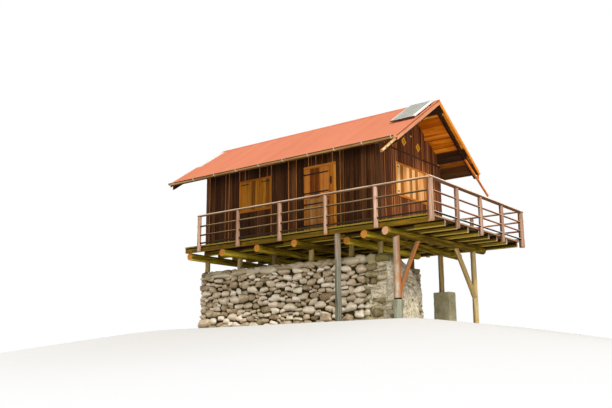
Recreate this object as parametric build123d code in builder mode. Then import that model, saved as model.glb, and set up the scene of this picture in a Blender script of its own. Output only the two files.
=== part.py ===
from build123d import *
import math
import os
import random

os.makedirs("parts", exist_ok=True)

# Hillside log cabin: a boarded hut with a gable roof, standing with its timber deck
# on round log beams, log posts and dry stone walls. All sizes are in millimetres.
# Axes: +X runs along the ridge towards the deck gable, the door wall faces -Y, +Z is up.
# z = 0 is the level ground that the lowest pier stands on.

fit = 0.3

# Hut
hut_length = 6700.0
hut_width = 3530.0
wall = 120.0
floor_height = 2560.0
corner_board_width = 130.0
corner_board = 20.0

# Roof
pitch = 33.9
eave_top_height = 2280.0
eave_overhang = 703.0
deck_verge_overhang = 1002.0
far_verge_overhang = 1002.0
roof_thickness = 90.0
plate_height = 2500.0
purlin_width = 100.0
purlin_depth = 130.0
purlin_from_ridge = 880.0
ridge_beam_depth = 200.0
verge_rafter_width = 80.0
verge_rafter_depth = 130.0
verge_rafter_inset = 95.0
barge_board = 25.0
barge_depth = 145.0
ridge_cap_sheet = 5.0
ridge_cap_width = 130.0

# Deck and its frame
gable_deck = 2005.0
front_deck = 930.0
back_deck = 1120.0
deck_board = 40.0
joist_width = 100.0
joist_depth = 150.0
joist_end_inset = 60.0
joist_shares = (0.0, 0.155, 0.27, 0.395, 0.52, 0.635, 0.735, 0.86, 1.0)
beam_radius = 115.0
beam_flat = 110.0
beam_front_end = 870.0
beam_back_end = 1070.0
outer_beam_front_x = 710.0
outer_beam_back_x = 1113.0
outer_beam_front_end = 958.0
outer_beam_back_end = 455.0
third_beam_front_end = 300.0
third_beam_back_end = 140.0
inner_beam_x = 0.0
third_beam_x = -950.0
far_beam_inset = 150.0
far_beam_count = 4

# Stone walls, posts and piers
stone_top = 720.0
stone_batter = 110.0
stone_front_face = 200.0
stone_wall = 550.0
stone_relief = 55.0
stone_taper = 28.0
stone_pitch = 530.0
stone_row = 450.0
pier_left = 450.0
pier_depth = 1500.0
pier_levels = (0.0, 900.0, 1450.0)
pier_rights = (675.0, 590.0, 375.0)
pier_top_right = 200.0
pier_back_lean = (0.0, 40.0, 110.0)
pier_top_depth = 900.0
stub_radius = 80.0
stub_from_front = 65.0
front_post_radius = 98.0
rear_post_radius = 85.0
left_post_radius = 88.0
front_brace_radius = 62.0
rear_brace_radius = 72.0
front_post_y = -485.0
rear_post_y = 3375.0
back_post_y = 3350.0
left_post_x = -880.0
left_post_y = -835.0
front_pier_height = 520.0
front_pier_top_radius = 155.0
front_pier_bottom_radius = 105.0
block_height = 1020.0
block_left = 190.0
block_right = 370.0
block_front = 215.0
block_back = 185.0
front_brace_reach = 1060.0
front_brace_foot = 110.0
rear_brace_reach = 1010.0
rear_brace_foot = 795.0

# Railing
rail_post_radius = 68.0
corner_post_radius = 90.0
rail_post_offset = 62.0
rail_post_top = 880.0
rail_post_drop = 200.0
rail_radius = 28.0
rail_heights = (50.0, 300.0, 580.0)
top_rail_radius = 36.0
half_log_width = 140.0
half_log_height = 70.0
front_rail_pitch = 1617.0
side_rail_bays = 4

# Door and windows
door_from_gable = 1483.0
door_frame_width = 1172.0
door_frame_top = 2122.0
door_hinge_jamb = 50.0
door_lock_jamb = 245.0
door_head = 80.0
door_clearance = 5.0
frame_proud = 15.0
leaf_thickness = 45.0
leaf_bottom = 15.0
leaf_split = 1130.0
strap_width = 40.0
strap_thickness = 6.0
strap_heights = (330.0, 960.0, 1300.0, 1870.0)
pin_radius = 7.0
pin_clearance = 0.5
eye_radius = 14.0
pin_from_jamb_edge = 23.0
window_trim = 60.0
window_proud = 25.0
shutter_thickness = 30.0
shutter_gap = 3.0
front_window_from_gable = 3930.0
front_window_width = 1320.0
front_window_bottom = 1040.0
front_window_top = 2080.0
gable_window_width = 1820.0
gable_window_bottom = 1050.0
gable_window_top = 2050.0
handle_height = 1590.0
handle_length = 240.0
handle_width = 36.0
handle_plate = 5.0
handle_from_leaf = 75.0
handle_stand_off = 42.0
handle_bar = 14.0
knob_height = 1050.0
knob_from_edge = 45.0
knob_radius = 19.0
knob_rose_radius = 26.0
knob_stand_off = 34.0
ornament_thickness = 15.0
gable_knob_height = 3010.0
gable_knob_radius = 22.0
gable_knob_proud = 30.0
shutter_strap_width = 30.0
shutter_strap_thickness = 5.0
shutter_strap_length = 330.0
shutter_hinge_length = 90.0
shutter_strap_inset = 140.0
verge_strip_width = 215.0
verge_strip_sheet = 4.0
verge_strip_length = 1420.0
band_bottom = 2390.0
band_height = 50.0
ornament_height = 2750.0
ornament_offset = 420.0
ornament_size = 280.0

# Gutters and spouts
gutter_radius = 60.0
gutter_sheet = 3.0
gutter_drop = 35.0
gutter_joint = 1.0
bracket_thickness = 4.0
bracket_width = 25.0
bracket_pitch = 928.0
bracket_from_verge = 122.0
spout_radius = 36.0
spout_sheet = 3.0
spout_reach = 3200.0
front_spout_fall = 34.8
back_spout_fall = 29.8
back_spout_drop = 264.0
back_spout_start = 1670.0
outlet_radius = 30.0

# Solar panel
panel_width = 800.0
panel_length = 1420.0
panel_thickness = 35.0
panel_lip = 25.0
panel_raise = 45.0
panel_from_verge = 60.0
panel_from_ridge = 190.0
panel_rail_width = 40.0

# Places that follow from the sizes
tan_p = math.tan(math.radians(pitch))
cos_p = math.cos(math.radians(pitch))
sin_p = math.sin(math.radians(pitch))
half = hut_width / 2
front_y = -half
left_reach = hut_length + far_verge_overhang + barge_board
right_reach = gable_deck + rail_post_offset + corner_post_radius
gable_x = (left_reach - right_reach) / 2
far_x = gable_x - hut_length
roof_right = gable_x + deck_verge_overhang
roof_left = far_x - far_verge_overhang
roof_span = roof_right - roof_left
eave_y = half + eave_overhang
ridge_z = floor_height + eave_top_height + eave_y * tan_p
under_z = ridge_z - roof_thickness / cos_p
seat_z = under_z - fit / cos_p
plate_z = floor_height + plate_height
deck_right = gable_x + gable_deck
deck_front = front_y - front_deck
deck_back = half + back_deck
boards_z = floor_height - deck_board
joist_top = boards_z - fit
joist_bottom = joist_top - joist_depth
beam_z = joist_bottom - fit - beam_flat
joist_span = deck_back - deck_front - joist_width
stone_z = floor_height - stone_top
stone_front = front_y - stone_front_face

# Beams: places of the front end and the back end. The outer one runs slightly askew.
beam_front_y = front_y - beam_front_end
beam_back_y = half + beam_back_end
outer_front = Vector(gable_x + outer_beam_front_x, front_y - outer_beam_front_end, beam_z)
outer_back = Vector(gable_x + outer_beam_back_x, half + outer_beam_back_end, beam_z)
inner_x = gable_x + inner_beam_x
third_x = gable_x + third_beam_x
beam_lines = [
    (outer_front, outer_back),
    (Vector(inner_x, beam_front_y, beam_z), Vector(inner_x, beam_back_y, beam_z)),
    (Vector(third_x, front_y - third_beam_front_end, beam_z), Vector(third_x, half + third_beam_back_end, beam_z)),
]
beam_spacing = (hut_length + third_beam_x - far_beam_inset) / far_beam_count
for i in range(far_beam_count):
    far_beam_x = third_x - (i + 1) * beam_spacing
    beam_lines.append((Vector(far_beam_x, beam_front_y, beam_z), Vector(far_beam_x, beam_back_y, beam_z)))


def along_outer(y):
    """Place on the outer beam's axis above a given y."""
    share = (y - outer_front.Y) / (outer_back.Y - outer_front.Y)
    return outer_front + (outer_back - outer_front) * share


def log_plane(start, end):
    """Plane at the start of a log, facing its end."""
    return Plane(origin=start, x_dir=(end - start).cross(Vector(0, 0, 1)), z_dir=end - start)


def large_stones(width, height, seed):
    """Places of the large stones on a wall face: middle across, middle up, width, height."""
    draw = random.Random(seed)
    rows = max(1, round(height / stone_row))
    count = max(1, round(width / stone_pitch))
    places = []
    for j in range(rows):
        for i in range(count):
            across = (i + 0.5 + draw.uniform(-0.12, 0.12)) * width / count
            up = (j + 0.5 + draw.uniform(-0.10, 0.10)) * height / rows
            places.append((across, up, draw.uniform(0.50, 0.74) * stone_pitch, draw.uniform(0.44, 0.76) * stone_row))
    return places

# Corner pier: a mass of mortared rubble that narrows upwards, with large stones in front
batter_angle = math.atan(stone_batter / stone_z)
face_lean = stone_batter / stone_z
pier_x = gable_x - pier_left
with BuildPart() as stone_corner_pier:
    for level, right, lean in zip(pier_levels, pier_rights, pier_back_lean):
        with BuildSketch(Plane.XY.offset(level)):
            pier_front = stone_front - stone_batter + level * face_lean + stone_relief
            with Locations((pier_x, pier_front)):
                Rectangle(pier_left + right, pier_depth - lean, align=(Align.MIN, Align.MIN))
    with BuildSketch(Plane.XY.offset(stone_z)):
        with Locations((pier_x, stone_front + stone_relief)):
            Rectangle(pier_left + pier_top_right, pier_top_depth, align=(Align.MIN, Align.MIN))
    loft(ruled=True)
    with BuildSketch(Plane(
        origin=(pier_x, stone_front - stone_batter + stone_relief, 0),
        x_dir=(1, 0, 0),
        z_dir=(0, -math.cos(batter_angle), math.sin(batter_angle)),
    )):
        for across, up, w, h in large_stones(pier_left + pier_top_right, stone_z, 11):
            with Locations((across, up)):
                Rectangle(w, h)
    extrude(amount=stone_relief, taper=stone_taper)
stone_corner_pier.part.label = "stone_corner_pier"
export_step(stone_corner_pier.part, "parts/stone_corner_pier.step")

# Dry stone walls, a little battered on the outer side, with their large stones
front_wall_right_x = pier_x - fit
back_wall_right_x = third_x + 2 * stub_radius
with BuildPart() as stone_walls:
    for face, side, wall_right in ((stone_front, 1, front_wall_right_x), (half, -1, back_wall_right_x)):
        with BuildSketch(Plane.YZ.offset(far_x + stone_relief)):
            with BuildLine():
                Polyline(
                    (face - side * (stone_batter - stone_relief), 0),
                    (face + side * stone_wall, 0),
                    (face + side * stone_wall, stone_z),
                    (face + side * stone_relief, stone_z),
                    close=True,
                )
            make_face()
        extrude(amount=wall_right - far_x - stone_relief)
        with BuildSketch(Plane(
            origin=(far_x if side > 0 else wall_right, face - side * (stone_batter - stone_relief), 0),
            x_dir=(side, 0, 0),
            z_dir=(0, -side * math.cos(batter_angle), math.sin(batter_angle)),
        )):
            for across, up, w, h in large_stones(wall_right - far_x, stone_z, 12 + side):
                with Locations((across, up)):
                    Rectangle(w, h)
        extrude(amount=stone_relief, taper=stone_taper)
    end_low = stone_front + stone_wall + fit
    end_high = half - stone_wall - fit
    with BuildSketch(Plane.XY):
        with Locations((far_x + stone_relief, end_low)):
            Rectangle(stone_wall - stone_relief, end_high - end_low, align=(Align.MIN, Align.MIN))
    extrude(amount=stone_z)
    with BuildSketch(Plane(origin=(far_x + stone_relief, end_high, 0), x_dir=(0, -1, 0), z_dir=(-1, 0, 0))):
        for across, up, w, h in large_stones(end_high - end_low, stone_z, 14):
            with Locations((across, up)):
                Rectangle(w, h)
    extrude(amount=stone_relief, taper=stone_taper)
stone_walls.part.label = "stone_walls"
export_step(stone_walls.part, "parts/stone_walls.step")

block_y = front_y + back_post_y
with BuildPart() as concrete_pier:
    with BuildSketch(Plane.XY):
        with Locations((inner_x - block_left, block_y - block_front)):
            Rectangle(block_left + block_right, block_front + block_back, align=(Align.MIN, Align.MIN))
    extrude(amount=block_height)
    chamfer(concrete_pier.edges().group_by(Axis.Z)[-1], 12)
concrete_pier.part.label = "concrete_pier"
export_step(concrete_pier.part, "parts/concrete_pier.step")

front_axis = along_outer(front_y + front_post_y)
rear_axis = along_outer(front_y + rear_post_y)
with BuildPart() as front_pier:
    with BuildSketch(Plane.XY):
        with Locations((front_axis.X, front_axis.Y)):
            Circle(front_pier_bottom_radius)
    with BuildSketch(Plane.XY.offset(front_pier_height)):
        with Locations((front_axis.X, front_axis.Y)):
            Circle(front_pier_top_radius)
    loft()
front_pier.part.label = "front_pier"
export_step(front_pier.part, "parts/front_pier.step")

# Round log beams across the hut, flattened on top where the joists lie
with BuildPart() as log_beams:
    for start, end in beam_lines:
        with BuildSketch(log_plane(start, end)):
            Circle(beam_radius)
        extrude(amount=(end - start).length)
    with BuildSketch(Plane.XY.offset(beam_z + beam_flat)):
        Rectangle(4 * hut_length, 4 * hut_width)
    extrude(amount=beam_radius, mode=Mode.SUBTRACT)
log_beams.part.label = "log_beams"
export_step(log_beams.part, "parts/log_beams.step")

with BuildPart() as joists:
    with BuildSketch(Plane.YZ.offset(far_x)):
        for share in joist_shares:
            with Locations((deck_front + joist_width / 2 + share * joist_span, joist_top - joist_depth / 2)):
                Rectangle(joist_width, joist_depth)
    extrude(amount=deck_right - joist_end_inset - far_x)
joists.part.label = "joists"
export_step(joists.part, "parts/joists.step")

# Short logs that carry the beams on the stone walls, saddled under each beam
stub_front_y = front_y - stub_from_front
stub_back_y = half - stone_wall / 2
with BuildPart() as stub_posts:
    with BuildSketch(Plane.XY.offset(stone_z + fit)):
        for start, end in beam_lines[1:]:
            with Locations((start.X, stub_front_y)):
                Circle(stub_radius)
        for start, end in beam_lines[2:]:
            with Locations((start.X, stub_back_y)):
                Circle(stub_radius)
    extrude(amount=beam_z - stone_z)
    for start, end in beam_lines[1:]:
        with BuildSketch(log_plane(start, end)):
            Circle(beam_radius + fit)
        extrude(amount=(end - start).length, mode=Mode.SUBTRACT)
stub_posts.part.label = "stub_posts"
export_step(stub_posts.part, "parts/stub_posts.step")

# Log posts: two saddled under the outer beam, one under the next, one up to the front joist
post_feet = [
    (front_axis.X, front_axis.Y, front_pier_height + fit, beam_z, front_post_radius),
    (rear_axis.X, rear_axis.Y, 0, beam_z, rear_post_radius),
    (inner_x, block_y, block_height + fit, beam_z, stub_radius),
    (gable_x + left_post_x, front_y + left_post_y, 0, joist_bottom - fit, left_post_radius),
]
with BuildPart() as log_posts:
    for x, y, foot, head, radius in post_feet:
        with BuildSketch(Plane.XY.offset(foot)):
            with Locations((x, y)):
                Circle(radius)
        extrude(amount=head - foot)
    for start, end in beam_lines[:2]:
        with BuildSketch(log_plane(start, end)):
            Circle(beam_radius + fit)
        extrude(amount=(end - start).length, mode=Mode.SUBTRACT)
log_posts.part.label = "log_posts"
export_step(log_posts.part, "parts/log_posts.step")

# Knee braces from the outer beam down to its two posts
brace_ends = [
    (along_outer(front_axis.Y + front_brace_reach), front_axis, front_pier_height + front_brace_foot, front_brace_radius),
    (along_outer(rear_axis.Y - rear_brace_reach), rear_axis, rear_brace_foot, rear_brace_radius),
]
with BuildPart() as knee_braces:
    for head, axis, foot, radius in brace_ends:
        lower_end = Vector(axis.X, axis.Y, foot)
        with BuildSketch(log_plane(head, lower_end)):
            Circle(radius)
        extrude(amount=(lower_end - head).length)
    with BuildSketch(log_plane(outer_front, outer_back)):
        Circle(beam_radius + fit)
    extrude(amount=(outer_back - outer_front).length, mode=Mode.SUBTRACT)
    with BuildSketch(Plane.XY):
        with Locations((front_axis.X, front_axis.Y)):
            Circle(front_post_radius + fit)
        with Locations((rear_axis.X, rear_axis.Y)):
            Circle(rear_post_radius + fit)
    extrude(amount=beam_z, mode=Mode.SUBTRACT)
knee_braces.part.label = "knee_braces"
export_step(knee_braces.part, "parts/knee_braces.step")

# Hut floor and the three strips of deck around it
with BuildPart() as hut_floor:
    with BuildSketch(Plane.XY.offset(boards_z)):
        with Locations(((gable_x + far_x) / 2, 0)):
            Rectangle(hut_length - 2 * fit, hut_width - 2 * fit)
    extrude(amount=deck_board - fit)
hut_floor.part.label = "hut_floor"
export_step(hut_floor.part, "parts/hut_floor.step")

with BuildPart() as front_walkway:
    with BuildSketch(Plane.XY.offset(boards_z)):
        with Locations(((deck_right + far_x) / 2, (deck_front + front_y) / 2)):
            Rectangle(deck_right - far_x, front_deck)
    extrude(amount=deck_board - fit)
front_walkway.part.label = "front_walkway"
export_step(front_walkway.part, "parts/front_walkway.step")

with BuildPart() as gable_deck_boards:
    with BuildSketch(Plane.XY.offset(boards_z)):
        with Locations(((deck_right + gable_x) / 2, 0)):
            Rectangle(gable_deck, hut_width - 2 * fit)
    extrude(amount=deck_board - fit)
gable_deck_boards.part.label = "gable_deck_boards"
export_step(gable_deck_boards.part, "parts/gable_deck_boards.step")

with BuildPart() as back_walkway:
    with BuildSketch(Plane.XY.offset(boards_z)):
        with Locations(((deck_right + far_x) / 2, (deck_back + half) / 2)):
            Rectangle(deck_right - far_x, back_deck)
    extrude(amount=deck_board - fit)
back_walkway.part.label = "back_walkway"
export_step(back_walkway.part, "parts/back_walkway.step")

# Long walls between the gables, open for the door and the window
door_right = gable_x - door_from_gable
door_left = door_right - door_frame_width
inner_left = far_x + wall + fit
inner_right = gable_x - wall - fit
front_window_right = gable_x - front_window_from_gable
front_window_left = front_window_right - front_window_width
with BuildPart() as front_wall_left:
    with BuildSketch(Plane.XZ.offset(-front_y)):
        with BuildLine():
            Polyline(
                (inner_left, floor_height),
                (door_left - fit, floor_height),
                (door_left - fit, plate_z - fit),
                (inner_left, plate_z - fit),
                close=True,
            )
        make_face()
        with Locations((
            (front_window_left + front_window_right) / 2,
            floor_height + (front_window_bottom + front_window_top) / 2,
        )):
            Rectangle(
                front_window_width + 2 * fit,
                front_window_top - front_window_bottom + 2 * fit,
                mode=Mode.SUBTRACT,
            )
    extrude(amount=-wall)
front_wall_left.part.label = "front_wall_left"
export_step(front_wall_left.part, "parts/front_wall_left.step")

with BuildPart() as front_wall_right:
    with BuildSketch(Plane.XZ.offset(-front_y)):
        with BuildLine():
            Polyline(
                (door_right + fit, floor_height),
                (inner_right, floor_height),
                (inner_right, plate_z - fit),
                (door_right + fit, plate_z - fit),
                close=True,
            )
        make_face()
    extrude(amount=-wall)
front_wall_right.part.label = "front_wall_right"
export_step(front_wall_right.part, "parts/front_wall_right.step")

with BuildPart() as front_wall_over_door:
    with BuildSketch(Plane.XZ.offset(-front_y)):
        with BuildLine():
            Polyline(
                (door_left, floor_height + door_frame_top + fit),
                (door_right, floor_height + door_frame_top + fit),
                (door_right, plate_z - fit),
                (door_left, plate_z - fit),
                close=True,
            )
        make_face()
    extrude(amount=-wall)
front_wall_over_door.part.label = "front_wall_over_door"
export_step(front_wall_over_door.part, "parts/front_wall_over_door.step")

with BuildPart() as back_wall:
    with BuildSketch(Plane.XZ.offset(-(half - wall))):
        with BuildLine():
            Polyline(
                (inner_left, floor_height),
                (inner_right, floor_height),
                (inner_right, plate_z - fit),
                (inner_left, plate_z - fit),
                close=True,
            )
        make_face()
    extrude(amount=-wall)
back_wall.part.label = "back_wall"
export_step(back_wall.part, "parts/back_wall.step")

# Gable walls, notched for the plates, the purlins and the ridge beam
with BuildPart() as gable_wall_deck:
    with BuildSketch(Plane.YZ.offset(gable_x - wall)):
        with BuildLine():
            Polyline(
                (-half, floor_height),
                (half, floor_height),
                (half, seat_z - half * tan_p),
                (0, seat_z),
                (-half, seat_z - half * tan_p),
                close=True,
            )
        make_face()
        for side in (-1, 1):
            with Locations((side * half, plate_z - fit + wall)):
                Rectangle(2 * (wall + fit), 2 * wall, mode=Mode.SUBTRACT)
            with Locations((side * purlin_from_ridge, seat_z - (purlin_from_ridge - purlin_width / 2) * tan_p)):
                Rectangle(
                    purlin_width + 2 * fit,
                    2 * (purlin_depth + purlin_width * tan_p),
                    mode=Mode.SUBTRACT,
                )
        with Locations((0, under_z)):
            Rectangle(purlin_width + 2 * fit, 2 * (ridge_beam_depth + fit), mode=Mode.SUBTRACT)
        with Locations((0, floor_height + (gable_window_bottom + gable_window_top) / 2)):
            Rectangle(
                gable_window_width + 2 * fit,
                gable_window_top - gable_window_bottom + 2 * fit,
                mode=Mode.SUBTRACT,
            )
    extrude(amount=wall)
gable_wall_deck.part.label = "gable_wall_deck"
export_step(gable_wall_deck.part, "parts/gable_wall_deck.step")

with BuildPart() as gable_wall_far:
    with BuildSketch(Plane.YZ.offset(far_x)):
        with BuildLine():
            Polyline(
                (-half, floor_height),
                (half, floor_height),
                (half, seat_z - half * tan_p),
                (0, seat_z),
                (-half, seat_z - half * tan_p),
                close=True,
            )
        make_face()
        for side in (-1, 1):
            with Locations((side * half, plate_z - fit + wall)):
                Rectangle(2 * (wall + fit), 2 * wall, mode=Mode.SUBTRACT)
            with Locations((side * purlin_from_ridge, seat_z - (purlin_from_ridge - purlin_width / 2) * tan_p)):
                Rectangle(
                    purlin_width + 2 * fit,
                    2 * (purlin_depth + purlin_width * tan_p),
                    mode=Mode.SUBTRACT,
                )
        with Locations((0, under_z)):
            Rectangle(purlin_width + 2 * fit, 2 * (ridge_beam_depth + fit), mode=Mode.SUBTRACT)
    extrude(amount=wall)
gable_wall_far.part.label = "gable_wall_far"
export_step(gable_wall_far.part, "parts/gable_wall_far.step")

# Wall plates, mid purlins and ridge beam, all carried out to the rafters of both verges
verge_zone = verge_rafter_inset + verge_rafter_width
with BuildPart() as roof_beams:
    with BuildSketch(Plane.YZ.offset(roof_left + verge_zone + fit)):
        for side in (-1, 1):
            with BuildLine():
                Polyline(
                    (side * half, plate_z),
                    (side * (half - wall), plate_z),
                    (side * (half - wall), seat_z - (half - wall) * tan_p),
                    (side * half, seat_z - half * tan_p),
                    close=True,
                )
            make_face()
            inner = purlin_from_ridge - purlin_width / 2
            outer = purlin_from_ridge + purlin_width / 2
            with BuildLine():
                Polyline(
                    (side * inner, seat_z - inner * tan_p),
                    (side * outer, seat_z - outer * tan_p),
                    (side * outer, seat_z - outer * tan_p - purlin_depth),
                    (side * inner, seat_z - outer * tan_p - purlin_depth),
                    close=True,
                )
            make_face()
        with BuildLine():
            Polyline(
                (0, seat_z),
                (purlin_width / 2, seat_z - purlin_width / 2 * tan_p),
                (purlin_width / 2, under_z - ridge_beam_depth),
                (-purlin_width / 2, under_z - ridge_beam_depth),
                (-purlin_width / 2, seat_z - purlin_width / 2 * tan_p),
                close=True,
            )
        make_face()
    extrude(amount=roof_span - 2 * (verge_zone + fit))
roof_beams.part.label = "roof_beams"
export_step(roof_beams.part, "parts/roof_beams.step")

# Dark rafters under the slopes, a little inside both verges
with BuildPart() as verge_rafters:
    for start in (roof_left + verge_rafter_inset, roof_right - verge_zone):
        with BuildSketch(Plane.YZ.offset(start)):
            for side in (-1, 1):
                with BuildLine():
                    Polyline(
                        (side * fit, seat_z - fit * tan_p),
                        (side * eave_y, seat_z - eave_y * tan_p),
                        (side * eave_y, seat_z - eave_y * tan_p - verge_rafter_depth),
                        (side * fit, seat_z - fit * tan_p - verge_rafter_depth),
                        close=True,
                    )
                make_face()
        extrude(amount=verge_rafter_width)
verge_rafters.part.label = "verge_rafters"
export_step(verge_rafters.part, "parts/verge_rafters.step")

with BuildPart() as roof_front:
    with BuildSketch(Plane.YZ.offset(roof_left)):
        with BuildLine():
            Polyline(
                (-fit / 2, ridge_z - fit / 2 * tan_p),
                (-eave_y, ridge_z - eave_y * tan_p),
                (-eave_y, under_z - eave_y * tan_p),
                (-fit / 2, under_z - fit / 2 * tan_p),
                close=True,
            )
        make_face()
    extrude(amount=roof_span)
roof_front.part.label = "roof_front"
export_step(roof_front.part, "parts/roof_front.step")

with BuildPart() as roof_back:
    with BuildSketch(Plane.YZ.offset(roof_left)):
        with BuildLine():
            Polyline(
                (fit / 2, ridge_z - fit / 2 * tan_p),
                (eave_y, ridge_z - eave_y * tan_p),
                (eave_y, under_z - eave_y * tan_p),
                (fit / 2, under_z - fit / 2 * tan_p),
                close=True,
            )
        make_face()
    extrude(amount=roof_span)
roof_back.part.label = "roof_back"
export_step(roof_back.part, "parts/roof_back.step")

with BuildPart() as barge_boards:
    for start in (roof_left - barge_board, roof_right + fit):
        with BuildSketch(Plane.YZ.offset(start)):
            for side in (-1, 1):
                with BuildLine():
                    Polyline(
                        (side * fit, ridge_z - fit * tan_p),
                        (side * eave_y, ridge_z - eave_y * tan_p),
                        (side * eave_y, ridge_z - eave_y * tan_p - barge_depth),
                        (side * fit, ridge_z - fit * tan_p - barge_depth),
                        close=True,
                    )
                make_face()
        extrude(amount=barge_board - fit)
barge_boards.part.label = "barge_boards"
export_step(barge_boards.part, "parts/barge_boards.step")

cap_low = ridge_z + fit / cos_p
cap_high = cap_low + ridge_cap_sheet / cos_p
with BuildPart() as ridge_cap:
    with BuildSketch(Plane.YZ.offset(roof_left)):
        for side in (-1, 1):
            with BuildLine():
                Polyline(
                    (side * fit / 2, cap_high - fit / 2 * tan_p),
                    (side * ridge_cap_width, cap_high - ridge_cap_width * tan_p),
                    (side * ridge_cap_width, cap_low - ridge_cap_width * tan_p),
                    (side * fit / 2, cap_low - fit / 2 * tan_p),
                    close=True,
                )
            make_face()
    extrude(amount=roof_span)
ridge_cap.part.label = "ridge_cap"
export_step(ridge_cap.part, "parts/ridge_cap.step")

# Half-round gutters with an outlet, their brackets and the sloping spouts
gutter_y = eave_y + 2 * fit + bracket_thickness + gutter_sheet + gutter_radius
gutter_z = ridge_z - eave_y * tan_p - gutter_drop
spout_place_x = roof_right - verge_rafter_inset + fit + spout_radius
bracket_count = int((roof_span - 2 * bracket_from_verge) // bracket_pitch) + 1
bracket_places = [roof_right - bracket_from_verge - i * bracket_pitch for i in range(bracket_count)]
with BuildPart() as gutters:
    with BuildSketch(Plane.YZ.offset(roof_left)):
        with Locations((-gutter_y, gutter_z), (gutter_y, gutter_z)):
            Circle(gutter_radius + gutter_sheet)
        with Locations((0, gutter_z + gutter_radius)):
            Rectangle(4 * gutter_y, 2 * gutter_radius, mode=Mode.SUBTRACT)
    extrude(amount=roof_span)
    with BuildSketch(Plane.YZ.offset(roof_left + gutter_sheet)):
        with Locations((-gutter_y, gutter_z), (gutter_y, gutter_z)):
            Circle(gutter_radius)
    extrude(amount=roof_span - 2 * gutter_sheet, mode=Mode.SUBTRACT)
    with BuildSketch(Plane.XY.offset(gutter_z - 2 * gutter_radius)):
        with Locations((spout_place_x, -gutter_y), (spout_place_x, gutter_y)):
            Circle(outlet_radius - spout_sheet)
    extrude(amount=2 * gutter_radius, mode=Mode.SUBTRACT)
    for x in bracket_places:
        with BuildSketch(Plane.YZ.offset(x - gutter_joint / 2)):
            Rectangle(4 * gutter_y, 2 * (ridge_z + gutter_radius))
        extrude(amount=gutter_joint, mode=Mode.SUBTRACT)
gutters.part.label = "gutters"
export_step(gutters.part, "parts/gutters.step")

# Spouts: a sloping pipe beside the verge rafter, with a short outlet up to the gutter.
# The front one lies right under the gutter, the back one starts farther in and lower.
front_spout_drop = (gutter_radius + gutter_sheet + fit + spout_radius) / math.cos(math.radians(front_spout_fall))
spout_runs = [
    (-1, front_spout_fall, front_spout_drop, eave_y + 2 * fit),
    (1, back_spout_fall, back_spout_drop, back_spout_start),
]
with BuildPart() as spouts:
    for side, fall, drop, start_y in spout_runs:
        fall_angle = math.radians(fall)
        down = Vector(0, side * math.cos(fall_angle), -math.sin(fall_angle))
        axis_z = gutter_z - drop
        start = Vector(spout_place_x, side * start_y, axis_z + (gutter_y - start_y) * math.tan(fall_angle))
        length = (spout_reach - spout_radius * math.sin(fall_angle) - start_y) / math.cos(fall_angle)
        with BuildSketch(Plane(origin=start, x_dir=(1, 0, 0), z_dir=down)):
            Circle(spout_radius)
        extrude(amount=length)
        with BuildSketch(Plane.XY.offset(axis_z)):
            with Locations((spout_place_x, side * gutter_y)):
                Circle(outlet_radius)
        extrude(amount=drop)
        with BuildSketch(Plane(origin=start + down * spout_sheet, x_dir=(1, 0, 0), z_dir=down)):
            Circle(spout_radius - spout_sheet)
        extrude(amount=length, mode=Mode.SUBTRACT)
        with BuildSketch(Plane.XY.offset(axis_z)):
            with Locations((spout_place_x, side * gutter_y)):
                Circle(outlet_radius - spout_sheet)
        extrude(amount=drop, mode=Mode.SUBTRACT)
    with BuildSketch(Plane.YZ.offset(roof_left)):
        with Locations((-gutter_y, gutter_z), (gutter_y, gutter_z)):
            Circle(gutter_radius + gutter_sheet + fit)
    extrude(amount=roof_span, mode=Mode.SUBTRACT)
spouts.part.label = "spouts"
export_step(spouts.part, "parts/spouts.step")

with BuildPart() as gutter_brackets:
    for x in bracket_places:
        with BuildSketch(Plane.YZ.offset(x - bracket_width / 2)):
            with Locations((-gutter_y, gutter_z), (gutter_y, gutter_z)):
                Circle(gutter_radius + gutter_sheet + fit + bracket_thickness)
                Circle(gutter_radius + gutter_sheet + fit, mode=Mode.SUBTRACT)
            with Locations((0, gutter_z + gutter_radius)):
                Rectangle(4 * gutter_y, 2 * gutter_radius, mode=Mode.SUBTRACT)
            for side in (-1, 1):
                with Locations((side * (eave_y + fit + bracket_thickness / 2), gutter_z)):
                    Rectangle(bracket_thickness, 1.4 * gutter_drop)
        extrude(amount=bracket_width)
gutter_brackets.part.label = "gutter_brackets"
export_step(gutter_brackets.part, "parts/gutter_brackets.step")

# Solar panel on two rails, lying along the front slope near ridge and verge
panel_right = roof_right - panel_from_verge
panel_low = eave_y / cos_p - panel_from_ridge - panel_length
panel_plane = Plane(
    origin=(panel_right - panel_width, -eave_y, ridge_z - eave_y * tan_p),
    x_dir=(1, 0, 0),
    z_dir=(0, -sin_p, cos_p),
)
with BuildPart() as panel_frame:
    with BuildSketch(panel_plane.offset(panel_raise)):
        with Locations((panel_width / 2, panel_low + panel_length / 2)):
            Rectangle(panel_width, panel_length)
            Rectangle(panel_width - 2 * panel_lip, panel_length - 2 * panel_lip, mode=Mode.SUBTRACT)
    extrude(amount=panel_thickness)
panel_frame.part.label = "panel_frame"
export_step(panel_frame.part, "parts/panel_frame.step")

with BuildPart() as panel_glass:
    with BuildSketch(panel_plane.offset(panel_raise + fit)):
        with Locations((panel_width / 2, panel_low + panel_length / 2)):
            Rectangle(panel_width - 2 * panel_lip - 2 * fit, panel_length - 2 * panel_lip - 2 * fit)
    extrude(amount=panel_thickness - 4)
panel_glass.part.label = "panel_glass"
export_step(panel_glass.part, "parts/panel_glass.step")

with BuildPart() as panel_rails:
    with BuildSketch(panel_plane.offset(fit)):
        for share in (0.2, 0.8):
            with Locations((panel_width / 2, panel_low + panel_length * share)):
                Rectangle(panel_width, panel_rail_width)
    extrude(amount=panel_raise - 2 * fit)
panel_rails.part.label = "panel_rails"
export_step(panel_rails.part, "parts/panel_rails.step")

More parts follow.
